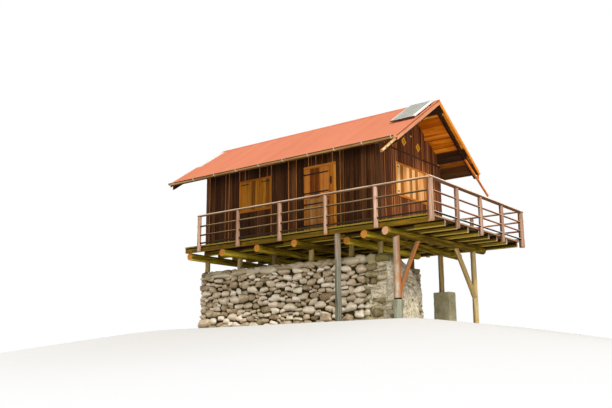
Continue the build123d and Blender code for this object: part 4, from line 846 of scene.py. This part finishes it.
def cladding_runs(start, end, low, gaps, size, seed):
    """Upright boards between start and end: the run is divided at the sides of each opening, and
    every stretch is filled with boards of near-equal width, above and below where it is an
    opening. Rows of (from, to, bottom, top), where a top of None reaches the roof."""
    rng = np.random.default_rng(seed)
    cuts = [start] + [v for g in gaps for v in g[:2]] + [end]
    rows = []
    for k in range(len(cuts) - 1):
        a, b = cuts[k], cuts[k + 1]
        widths = rng.uniform(0.65, 1.35, max(1, round((b - a) / size)))
        edges = a + (b - a) * np.concatenate([[0], np.cumsum(widths) / widths.sum()])
        gap = gaps[k // 2] if k % 2 else None
        for p, q in zip(edges[:-1], edges[1:]):
            rows.append((p, q, low if gap is None else gap[3], None))
            if gap is not None and gap[2] > low:
                rows.append((p, q, low, gap[2]))
    return rows


def wall_top(axis, v):
    """Top of the boards: level on the long walls, and under the roof at a place across a gable."""
    return floor + EAVE_WALL if axis is X else under - abs(v) * TAN - 0.006


def cladding(name, axis, out, face, gaps, size, wood, seed):
    """Boards whose two edges run up to the roof line at their own place, and narrow strips over
    many of the joints."""
    a, b = (far_x, gable_x) if axis is X else (-half, half)
    margin, joint, strip = CORNER_BOARD + 0.001, 0.004, 0.018
    draw = random.Random(seed)
    boards, strips = [], []

    def tall(place, low, high):
        return (wall_top(axis, place) if high is None else high) - low

    for p, q, z0, z1 in cladding_runs(a + margin, b - margin, floor + 0.002, gaps, size, seed):
        boards.append((p + joint / 2, z0, tall(p + 0.003, z0, z1), tall(q - 0.003, z0, z1), q - p - joint))
        if draw.random() < (0.8 if axis is Y else 0.5):
            strips.append((p - strip / 2, z0, tall(p - strip / 2, z0, z1), tall(p + strip / 2, z0, z1), strip))
    parts = []
    for rows, deep, turn in ((boards, 0.010, 0), (strips, 0.0155, 1)):
        p, z0, l0, l1, w = np.array(rows).T
        starts = axis * p[:, None] + out * half * (axis is X) + face + Z * z0[:, None]
        parts.append(planks(starts, Z, axis, out, l0, w, deep, seed + turn, l1, cap=turn))
    made = piece(name, parts, [wood, batten_wood], slot="wall_boards")
    count = len(boards) * 8 * 8
    recolour(made, lambda c: np.arange(len(c)) >= count, 1)


window_low, window_high = limits("front_window_frame")
door_low, door_high = limits("door_frame")
gwin_low, gwin_high = limits("gable_window_frame")
front_gaps = [(window_low[0], window_high[0], window_low[2], window_high[2]),
              (door_low[0], door_high[0], floor, door_high[2])]
gable_gaps = [(gwin_low[1], gwin_high[1], gwin_low[2], gwin_high[2])]
cladding("front_cladding", X, -Y, 0 * Y, front_gaps, 0.145, wall_wood, 3)
cladding("back_cladding", X, Y, 0 * Y, [], 0.145, wall_wood, 5)
cladding("gable_cladding", Y, X, X * gable_x, gable_gaps, 0.125, gable_wood, 7)
cladding("far_gable_cladding", Y, -X, X * far_x, [], 0.125, gable_wood, 9)

# Corner boards and the bands across both gables
parts = []
for x, sx in ((gable_x, 1.0), (far_x, -1.0)):
    for sy in (-1.0, 1.0):
        parts.append(planks(X * (x - sx * CORNER_BOARD) + Y * sy * half + Z * floor, Z, X * sx, Y * sy,
                            BAND_UP - 0.001, CORNER_BOARD + TRIM_THICK, TRIM_THICK, int(20 + sx + 3 * sy)))
        parts.append(planks(X * x + Y * sy * (half - CORNER_BOARD) + Z * floor, Z, Y * sy, X * sx,
                            BAND_UP - 0.001, CORNER_BOARD, TRIM_THICK, int(30 + sx + 3 * sy)))
    parts.append(planks(X * x + Y * (front - TRIM_THICK) + Z * (floor + BAND_UP), Y, Z, X * sx,
                        2 * (half + TRIM_THICK), 0.05, 0.022, 41))
piece("corner_and_band_boards", parts, [trim_wood], node="trim_boards", slot="wall_boards")


def dress(material, *nodes):
    """Give CAD nodes one finish."""
    for n in nodes:
        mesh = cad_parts[n].data
        mesh.materials.clear()
        mesh.materials.append(material)


tan_inner = ((300, 150, 50), (480, 270, 110), (620, 400, 190))
floor_tones = ((180, 110, 50), (340, 220, 110), (480, 330, 180))
dress(board_panel("inner_wall_boards_x", *tan_inner, 0, 0.16, (26, 26, 0.8)),
      "front_wall_left", "front_wall_right", "front_wall_over_door", "back_wall")
dress(board_panel("inner_wall_boards_y", *tan_inner, 1, 0.16, (26, 26, 0.8)),
      "gable_wall_deck", "gable_wall_far")
dress(board_panel("hut_floor_boards", *floor_tones, 1, 0.14, (0.8, 26, 26)), "hut_floor")
dress(roof_beam_finish(ridge), "roof_beams")
dress(board_panel("dark_verge_rafter", (10, 4, 2), (35, 14, 6), (85, 38, 18), 0, 9.0, (26, 3, 26)),
      "verge_rafters")
dress(plain("salmon_ridge_cap", (740, 240, 130), (580, 170, 90), 0.8, 0.0, 5.0), "ridge_cap")
dress(strip_metal, "verge_strip")
dress(gutter_finish(roof_right), "gutters")
dress(bracket_metal, "gutter_brackets")
dress(spout_finish(), "spouts")
dress(edge_finish(), "panel_frame")
dress(eave_wood, "panel_rails")
dress(panel_finish(limits("panel_glass")[1][0]), "panel_glass")
dress(ornament_finish(floor + 2.75, floor + 3.01), "ornaments")
dress(iron, "lower_straps", "upper_straps", "pintles", "jamb_handle", "front_shutter_straps",
      "gable_shutter_hinges")
dress(knob_metal, "leaf_knob")

# Roof: boards, eave board and covering in courses on both slopes, and barge boards on the verges
span = roof_right - roof_left
barge_low, barge_high = limits("barge_boards")
barge_parts = []
rows, courses, overlap = 17, 5, 0.02
for side, name in ((-1.0, "front"), (1.0, "back")):
    up_axis = np.array([0.0, -side * COS, SIN])
    out_axis = np.array([0.0, side * SIN, COS])
    eave = Y * side * eave_y + Z * (ridge - eave_y * TAN) + X * roof_left
    step = slope_length / rows
    starts = [eave + up_axis * (i * step + 0.002) - out_axis * thick for i in range(rows)]
    boards = planks(starts, X, up_axis, out_axis, span, step - 0.004, thick - 0.010, 51, chamfer=0.004,
                    steps=24)
    piece(name + "_roof_boards", [boards], [soffit_wood], node="roof_" + name, slot="roof_timber")
    start = eave - Z * (thick / COS) - Y * side * 0.022
    fascia = planks(start, X, Z, Y * side, span, thick / COS - 0.012, 0.022, 52, steps=24)
    piece(name + "_eave_board", [fascia], [eave_wood], slot="roof_timber")
    lap = slope_length / courses
    starts = [eave + up_axis * (i * lap - (overlap if i else 0.0)) - out_axis * (0.0085 - 0.0012 * (i % 2))
              for i in range(courses)]
    cover = planks(starts, X, up_axis, out_axis, span, lap + overlap, 0.0075, 53, chamfer=0.002, steps=60)
    piece(name + "_roof_cover", [cover], [roof_finish()], slot="roof_cover")
    for x in (barge_low[0], barge_high[0] - BARGE_THICK):
        foot = X * x + Y * side * eave_y + Z * (ridge - eave_y * TAN - BARGE_DEEP)
        barge_parts.append(planks(foot, up_axis, Z, X, slope_length, BARGE_DEEP, BARGE_THICK, int(60 + side),
                                  steps=20, sway=0.0))
piece("barge_board_set", barge_parts, [barge_finish(ridge)], node="barge_boards", slot="barge_boards")


# Door and windows

def leaf(node, body, wood, seed):
    """A door leaf: upright planks in the outer part of its thickness, and level ledges inside."""
    low, high = limits(node)
    outer, ledge, inset, count = 0.029, 0.016, 0.03, 5
    step = (high[0] - low[0]) / count
    starts = [X * (low[0] + i * step + 0.001) + Y * (low[1] + outer) + Z * low[2] for i in range(count)]
    upright = planks(starts, Z, X, -Y, high[2] - low[2], step - 0.002, outer, seed, chamfer=0.004, steps=7,
                     sway=0.0004)
    ledges = [X * (low[0] + inset) + Y * (low[1] + outer + ledge) + Z * z for z in
              (low[2] + 0.10, (low[2] + high[2]) / 2 - 0.05, high[2] - 0.20)]
    level = planks(ledges, X, Z, -Y, high[0] - low[0] - 2 * inset, 0.10, ledge, seed + 1, steps=5, sway=0.0)
    piece(node + "_planks", [upright, level], [wood], body=body, node=node, slot="door_wood")


leaf("lower_leaf", "lower_door", low_door_wood, 71)
leaf("upper_leaf", "upper_door", door_wood, 75)

deep, head = door_high[1] - door_low[1], 0.08
tall = door_high[2] - floor - head
jambs = ((door_low[0], 0.05, deep), (door_high[0] - 0.245, 0.16, deep - 0.004),
         (door_high[0] - 0.083, 0.083, deep))
parts = [planks(X * x + Y * door_high[1] + Z * floor, Z, X, -Y, tall, w, d, 81 + i, sway=0)
         for i, (x, w, d) in enumerate(jambs)]
parts.append(planks(X * door_low[0] + Y * door_high[1] + Z * (floor + tall), X, Z, -Y,
                    door_high[0] - door_low[0], head, deep, 84, sway=0))
piece("door_frame_boards", parts, [frame_wood], node="door_frame", slot="frame_wood")


def extent(node, axis, out):
    """Lowest and highest corner of a node, its two ends along an axis and its two faces."""
    low, high = limits(node)
    near, far = sorted((float(low @ out), float(high @ out)))
    return low, high, float(low @ axis), float(high @ axis), near, far


def window(node, shutters, axis, out, each, wood, frame_boards, seed):
    """A window: two level and two upright frame boards, and closed shutters, both leaves of which
    are filled with upright boards."""
    low, high, a, b, near, far = extent(node, axis, out)
    wide, meet = 0.06, 0.003
    base = out * near
    parts = [planks(base + axis * v + Z * low[2], Z, axis, out, high[2] - low[2], wide, far - near,
                    seed + i, steps=7, sway=0) for i, v in enumerate((a, b - wide))]
    parts += [planks(base + axis * (a + wide) + Z * z, axis, Z, out, b - a - 2 * wide, wide, far - near - 0.002,
                     seed + 4 + i, steps=7, sway=0) for i, z in enumerate((low[2], high[2] - wide))]
    piece(node + "_boards", parts, [frame_boards], node=node, slot="frame_wood")
    low, high, a, b, near, far = extent(shutters, axis, out)
    leaf_width = (b - a - meet) / 2
    step = leaf_width / each
    starts = [out * near + axis * (a + k * (leaf_width + meet) + i * step + 0.0015) + Z * low[2]
              for k in range(2) for i in range(each)]
    boards = planks(starts, Z, axis, out, high[2] - low[2], step - 0.003, far - near, seed + 9, chamfer=0.004,
                    steps=6, sway=0.0003)
    piece(shutters + "_boards", [boards], [wood], node=shutters, slot="shutter_wood")


window("front_window_frame", "front_shutters", X, -Y, 4, shutter_wood, frame_wood, 91)
window("gable_window_frame", "gable_shutters", Y, X, 5, gable_shutter_wood, bright_frame_wood, 105)

# Deck planks across the joists, with open joints
plank, joint = 0.145, 0.0025
for seed, node in enumerate(("front_walkway", "gable_deck_boards", "back_walkway"), 111):
    low, high = limits(node)
    count = round((high[0] - low[0]) / plank)
    step = (high[0] - low[0]) / count
    starts = [X * (low[0] + i * step + joint / 2) + Y * high[1] + Z * low[2] for i in range(count)]
    boards = planks(starts, -Y, X, Z, high[1] - low[1], step - joint, high[2] - low[2], seed, chamfer=0.0015,
                    steps=7)
    piece(node + "_planks", [boards], [deck_wood], node=node, slot="deck_boards")

# Joists at the shares of the deck's width that the photo shows, the outer one brighter
shares = np.array([0.0, 0.155, 0.27, 0.395, 0.52, 0.635, 0.735, 0.86, 1.0])
places = joist_low[1] + shares * (joist_high[1] - joist_low[1] - 0.10)
places[0] += 0.016
starts = X * joist_low[0] + Y * places[:, None] + Z * joist_low[2]
beams = planks(starts, X, Y, Z, joist_high[0] - joist_low[0], 0.098, 0.150, 121, chamfer=0.019, steps=40,
               sway=0.003, cap=1)
made = piece("joist_timbers", [beams], [joist_wood, end_grey, inner_joist_wood], node="joists",
             slot="joist_timber")
# The inner joists take the darker copy, painted shade under the deck.
recolour(made, lambda c: c[:, 1] > places[1], 2)

# Round beams: the outer one lies slightly askew
beam_top = limits("log_beams")[1][2]
beam_z = beam_top - 0.110
outer = np.array([[gable_x + 0.710, front - 0.958, beam_z], [gable_x + 1.113, half + 0.455, beam_z]])


def along_outer(y):
    """Place on the outer beam's middle line over a given y."""
    return np.array([np.interp(y, outer[:, 1], outer[:, 0]), y, beam_z])


third_x, spacing = gable_x - 0.95, 1.4
beam_front, beam_back = front - 0.87, half + 1.07
spans = [(gable_x, beam_front, beam_back), (third_x, front - 0.30, half + 0.14)]
spans += [(third_x - spacing * i, beam_front, beam_back) for i in range(1, 5)]
lines = [outer] + [((x, a, beam_z), (x, b, beam_z)) for x, a, b in spans]
parts = [log(a, b, 0.117, 0.110, 131 + i, flat=beam_top, rough=0.025, bow=0.006, cap=2 if i else 1)
         for i, (a, b) in enumerate(lines)]
piece("round_log_beams", parts, [beam_bark, end_pink, end_orange], node="log_beams", slot="beam_logs")

# Log posts, braces and stubs
block_low, block_high = limits("concrete_pier")
post_end = beam_z - 0.02
front_axis, rear_axis = along_outer(front - 0.485), along_outer(front + 3.375)
posts = [(*front_axis[:2], pier_top, post_end, 0.098), (*rear_axis[:2], 0.0, post_end, 0.085),
         (gable_x, front + 3.35, block_high[2], post_end, 0.080),
         (gable_x - 0.88, front - 0.835, 0.0, joist_low[2] - 0.001, 0.088)]
parts = [upright(x, y, z0, z1, r * 1.03, r * 0.96, 141 + i, rough=0.045, knots=7)
         for i, (x, y, z0, z1, r) in enumerate(posts)]
made = piece("trestle_posts", parts, [post_wood, end_pink, grey_post_wood, tan_post_wood], node="log_posts",
             slot="beam_logs")
recolour(made, lambda c: c[:, 0] < gable_x - 0.5, 2)
recolour(made, lambda c: c[:, 1] > 0, 3)

braces = [(along_outer(front_axis[1] + 1.06), (*front_axis[:2], pier_top + 0.11), 0.062, 0.060, 151),
          (along_outer(rear_axis[1] - 1.01), (*rear_axis[:2], 0.795), 0.072, 0.070, 152)]
made = piece("knee_brace_logs", [log(*brace, rough=0.05) for brace in braces],
             [brace_wood, end_orange, tan_post_wood], node="knee_braces", slot="beam_logs")
recolour(made, lambda c: c[:, 1] > 0, 2)

stub_z = limits("stub_posts")[0][2]
parts = [upright(x, y, stub_z, post_end, 0.08, 0.078, seed + i, knots=1)
         for y, seed, first in ((front - 0.065, 161, 0), (half - 0.275, 171, 1))
         for i, (x, _, _) in enumerate(spans[first:])]
piece("stub_logs", parts, [stub_wood, end_pink], node="stub_posts", slot="beam_logs")

# Railing: posts, three poles in each bay, a pale pole on top in front and behind, a half log at the side
rp_low, rp_high = limits("railing_posts")
line_x, line_f, line_b = rp_high[0] - RAIL_EDGE, rp_low[1] + RAIL_EDGE, rp_high[1] - RAIL_EDGE
bay, corner_post = 1.617, 0.087
spots = [(line_x, line_f, corner_post), (line_x, line_b, corner_post)]
spots += [(line_x, line_f + i * (line_b - line_f) / 4, RAIL_POST) for i in range(1, 4)]
spots += [(line_x - i * bay, y, RAIL_POST) for i in range(1, 6) for y in (line_f, line_b)]
parts = [upright(x, y, post_foot, post_top, r * 1.04, r * 0.97, 181 + i, step=0.05, rough=0.08, bow=0.006)
         for i, (x, y, r) in enumerate(spots)]
piece("railing_post_logs", parts, [rail_post_wood, end_pink], node="railing_posts", slot="rail_wood")

fr_low, fr_high = limits("front_rails")
pole_top, crown, lowest = post_top + 0.032, post_top - 0.02, floor + 0.15


def poles(start, end, thin_end, bow, seed):
    """Three poles, one above the other, from one place on the deck to another."""
    return [log((*start, floor + z), (*end, floor + z), 0.028, thin_end, seed + i, step=0.15, sides=14,
                rough=0.06, bow=bow, knots=8) for i, z in enumerate((0.05, 0.30, 0.58))]


for side, y, wood, seed in (("front", line_f, front_rail_wood, 201), ("back", line_b, back_rail_wood, 211)):
    parts = poles((fr_low[0], y), (line_x - RAIL_POST, y), 0.026, 0.006, seed)
    parts.append(log((fr_low[0], y, pole_top), (fr_high[0], y, pole_top), 0.036, 0.032, seed + 5, step=0.15,
                     sides=16, rough=0.05, bow=0.004, knots=8))
    made = piece(side + "_rails_poles", parts, [wood, end_pink, top_rail_wood, black_rail_wood],
                 node=side + "_rails", slot="rail_wood")
    recolour(made, lambda c: c[:, 2] > crown, 2)
    # The lowest front pole takes the near black finish, painted shade by the deck.
    recolour(made, lambda c: (c[:, 2] < lowest) & (c[:, 1] < 0), 3)

parts = poles((line_x, line_f + RAIL_POST), (line_x, line_b - RAIL_POST), 0.027, 0.005, 221)
parts.append(half_log((line_x, line_f - RAIL_EDGE, post_top), (line_x, line_b + RAIL_EDGE, post_top),
                      0.138, 0.070, 231))
made = piece("side_rails_poles", parts, [side_rail_wood, end_pink, half_log_wood, low_rail_wood],
             node="side_rails", slot="rail_wood")
recolour(made, lambda c: c[:, 2] > crown, 2)
# The lowest side pole takes the near black finish with its painted highlight on top.
recolour(made, lambda c: c[:, 2] < lowest, 3)

# Dry stone walls: fitted stones on every face, over a dark core that stands for earth and for painted shade
# between the stones
pier_x = limits("stone_corner_pier")[0][0]
face = front - 0.2
right_end = third_x + 0.16
foot = face - FACE_BATTER
core_left, core_top, core_deep, sunk_in = far_x + 0.09, stone_top - 0.05, 0.47, 0.075


def core_wall(low_y, high_y, right, seed, lean_low=0.0, lean_high=0.0, **shape):
    """The dark core of one wall, whose outer side may lean back to its top."""
    return rough_block([(0.0, core_left, low_y - lean_low, right, high_y + lean_high),
                        (core_top, core_left, low_y, right, high_y)], seed, 0.008, **shape)


core = [core_wall(face + sunk_in, face + core_deep, pier_x - 0.01, 3, lean_low=FACE_BATTER, around=160),
        core_wall(half - core_deep, half - sunk_in, right_end - 0.08, 4, lean_high=FACE_BATTER, around=160),
        core_wall(face + 0.5, half - 0.5, far_x + core_deep, 5)]
low_end, high_end = face + WALL_THICK + 0.0003, half - WALL_THICK - 0.0003
left = X * far_x
raised = left + Z * stone_top
back_end = X * right_end + Y * (half + FACE_BATTER)
outside = ((left + Y * foot, X, Z, -Y, pier_x - 0.0003 - far_x, stone_top, 13, FACE_BATTER),
           (back_end, -X, Z, Y, right_end - far_x, stone_top, 11, FACE_BATTER),
           (left + Y * (half + 0.06), -Y, Z, -X, half - face + 0.12, stone_top, 14),
           (X * right_end + Y * (half - WALL_THICK), Y, Z, X, 0.6, stone_top, 17, 0.0, 28, 0.01))
inside = ((left + Y * low_end, X, Z, Y, pier_x - far_x, stone_top),
          (left + Y * high_end, X, Z, -Y, right_end - far_x, stone_top),
          (left + X * WALL_THICK + Y * low_end, Y, Z, X, high_end - low_end, stone_top),
          (raised + Y * face, X, Y, Z, pier_x - far_x, WALL_THICK),
          (raised + Y * high_end, X, Y, Z, right_end - far_x, WALL_THICK),
          (raised + Y * low_end, X, Y, Z, WALL_THICK, high_end - low_end))
outer_faces = [stone_face(*place) for place in outside]
inner_faces = [stone_face(*place, seed, dense=9, back=0.02) for seed, place in enumerate(inside, 18)]
piece("stone_wall_outside", outer_faces, [dry_stone], node="stone_walls", slot="stones")
piece("stone_wall_inside", inner_faces, [dry_stone], slot="stones")
piece("stone_wall_core", core, [earth_and_shade_core], slot="stones")

# Corner pier: a mass of pebbly mortar that narrows upwards, with dry stones set in its front.
# Rows of height, right side past the gable, and how far the back is drawn in
levels = np.array([(z, pier_x, foot + z * FACE_BATTER / stone_top + 0.055, gable_x + r, foot + 0.055 + 1.5 - d)
                   for z, r, d in ((0.0, 0.675, 0.0), (0.9, 0.590, -0.014), (1.45, 0.375, 0.023))]
                  + [(stone_top - 0.002, pier_x, face + 0.055, gable_x + 0.2, face + 0.955)])
mass = rough_block(levels, 7, 0.050, scale=2.6, around=180, steps=60, corner=5.0)
piece("mortared_corner_mass", [mass], [mortar_finish(stone_top - 0.20, stone_top + 0.05)],
      node="stone_corner_pier", slot="stones")
rng = np.random.default_rng(29)
count = 26
at = np.stack([rng.uniform(0.12, 1.05, count), rng.uniform(0.10, 1.15, count)], 1)
reach = np.interp(at[:, 0], levels[:, 0], levels[:, 3])
sunk = np.stack([reach - rng.uniform(0.045, 0.075, count), foot + 0.10 + at[:, 1], at[:, 0]], 1)
sizes = rng.uniform(0.04, 0.09, (count, 3)) * np.array([1.2, 0.7, 0.8])
low_stones = stones(sunk, sizes, (Y, X, Z), rng.uniform(-0.5, 0.5, count), 31)
corner = X * pier_x + Y * foot
pier_faces = [stone_face(corner, X, Z, -Y, 0.65, stone_top, 11, FACE_BATTER),
              stone_face(corner + X * 0.62, X, Z, -Y, 0.42, 0.62, 12, 0.036, back=0.035)]
piece("corner_pier_stones", [*pier_faces, low_stones], [pier_stone], slot="stones")

block = rough_block([(z, *block_low[:2], *block_high[:2]) for z in (0.0, block_high[2])], 9, 0.008, scale=9.0,
                    around=64, steps=20, corner=24.0)
piece("concrete_pier_block", [block], [concrete], node="concrete_pier", slot="concrete")
stump = upright(*front_axis[:2], 0.0, pier_top, 0.105, 0.152, 331, step=0.04, rough=0.05, bow=0.0, sides=28)
piece("front_pier_stump", [stump], [stump_wood, stump_wood], node="front_pier", slot="stones")


# Floor, light and camera

def seen_directly(tree):
    """1 for camera, mirror and glass rays, 0 for the rays that carry light."""
    ray = tree.nodes.new("ShaderNodeLightPath")
    total = ray.outputs["Is Camera Ray"]
    for kind in ("Is Glossy Ray", "Is Transmission Ray"):
        n = tree.nodes.new("ShaderNodeMath")
        n.operation = "MAXIMUM"
        tree.links.new(total, n.inputs[0])
        tree.links.new(ray.outputs[kind], n.inputs[1])
        total = n.outputs[0]
    return total


def ground(low, high):
    """The floor: flat under the part, and beyond its outline it falls away as the square root of
    distance squared plus a constant, so that the low viewpoint looks over no edge. Far from the
    part it turns as white as the background."""
    n, far_off, slope, soft, lowest = 161, 70.0, 0.17, 0.8, -4.5
    s = np.linspace(-1, 1, n)
    reach = far_off * np.sign(s) * np.abs(s) ** 2.2
    gx, gy = np.meshgrid(reach, reach, indexing="ij")
    dx = np.maximum(np.maximum(low[0] - gx, gx - high[0]), 0)
    dy = np.maximum(np.maximum(low[1] - gy, gy - high[1]), 0)
    z = np.maximum(-slope * (np.sqrt(dx * dx + dy * dy + soft) - math.sqrt(soft)) - 0.0012, lowest)
    i = np.arange(n * n).reshape(n, n)
    quads = np.stack([i[:-1, :-1], i[1:, :-1], i[1:, 1:], i[:-1, 1:]], -1).reshape(-1, 4)
    mesh = bpy.data.meshes.new("floor")
    mesh.from_pydata(np.stack([gx, gy, z], -1).reshape(-1, 3).tolist(), [], quads.tolist())
    mesh.polygons.foreach_set("use_smooth", np.ones(len(quads), bool))
    made = placed("floor", mesh)
    f = Finish("pale_floor", 0.95, 0.0)
    f.done((800, 790, 770))
    x, y, _ = f.parts(f.place())
    away = f.root(f.plus(f.times(x, x), f.times(y, y)))
    fade = f.add("ShaderNodeMapRange", {"Value": away, "From Min": 6.0, "From Max": 15.0},
                 interpolation_type="SMOOTHSTEP")
    white = f.add("ShaderNodeEmission", {"Color": (1000, 1000, 1000), "Strength": 1.0})
    shown = f.times(fade, seen_directly(f.tree))
    f.put(f.out.inputs[0], f.add("ShaderNodeMixShader", {0: shown, 1: f.shader.outputs[0], 2: white}))
    mesh.materials.append(f.material)


def lamp(name, toward, energy, degrees, colour):
    """A far lamp whose light comes from the given direction."""
    sun = bpy.data.lights.new(name, "SUN")
    sun.energy, sun.angle, sun.color = energy, math.radians(degrees), colour
    placed(name, sun).rotation_euler = Vector(toward).to_track_quat("Z", "Y").to_euler()


scene = bpy.context.scene
scene.view_settings.view_transform = "Standard"
ground((far_x - 0.15, front - 1.0), (gable_x + 1.25, half + 0.3))
world = bpy.data.worlds.new("soft_studio")
world.use_nodes = True
scene.world = world
tree = world.node_tree
tree.nodes.clear()
choose = tree.nodes.new("ShaderNodeMixShader")
tree.links.new(seen_directly(tree), choose.inputs[0])
for index, colour, strength in ((1, (0.97, 0.98, 1.0, 1), 0.50), (2, (1, 1, 1, 1), 1.0)):
    back = tree.nodes.new("ShaderNodeBackground")
    back.inputs[0].default_value = colour
    back.inputs[1].default_value = strength
    tree.links.new(back.outputs[0], choose.inputs[index])
tree.links.new(choose.outputs[0], tree.nodes.new("ShaderNodeOutputWorld").inputs[0])
lamp("key", (0.90, -0.45, 1.20), 2.3, 6, (1.0, 0.97, 0.92))
lamp("fill", (0.45, -0.89, 0.06), 0.7, 35, (1.0, 1.0, 1.0))
spot = bpy.data.lights.new("low_spot", "SPOT")
spot.energy, spot.spot_size, spot.spot_blend, spot.shadow_soft_size = 480.0, math.radians(80), 1.0, 0.6
held = placed("low_spot", spot)
held.location = (gable_x + 3.6, front - 5.4, 0.7)
held.rotation_euler = Vector((0.42, -0.75, -0.52)).to_track_quat("Z", "Y").to_euler()
held.visible_camera = held.visible_glossy = False

# The camera as solved from the photo's straight lines
focal_pixels, photo_width, sensor = 764.65, 612.0, 36.0
heading, tilt, roll = (math.radians(a) for a in (37.664, 102.123, -0.32))
lens = bpy.data.cameras.new("view")
lens.sensor_width = sensor
lens.lens = focal_pixels / photo_width * sensor
lens.clip_end = 400.0
camera = placed("view", lens)
turn = Matrix.Rotation(heading, 4, "Z") @ Matrix.Rotation(tilt, 4, "X") @ Matrix.Rotation(roll, 4, "Z")
camera.matrix_world = Matrix.Translation((gable_x + 10.9215, front - 17.5034, floor - 3.7466)) @ turn
scene.camera = camera

bpy.context.view_layer.update()
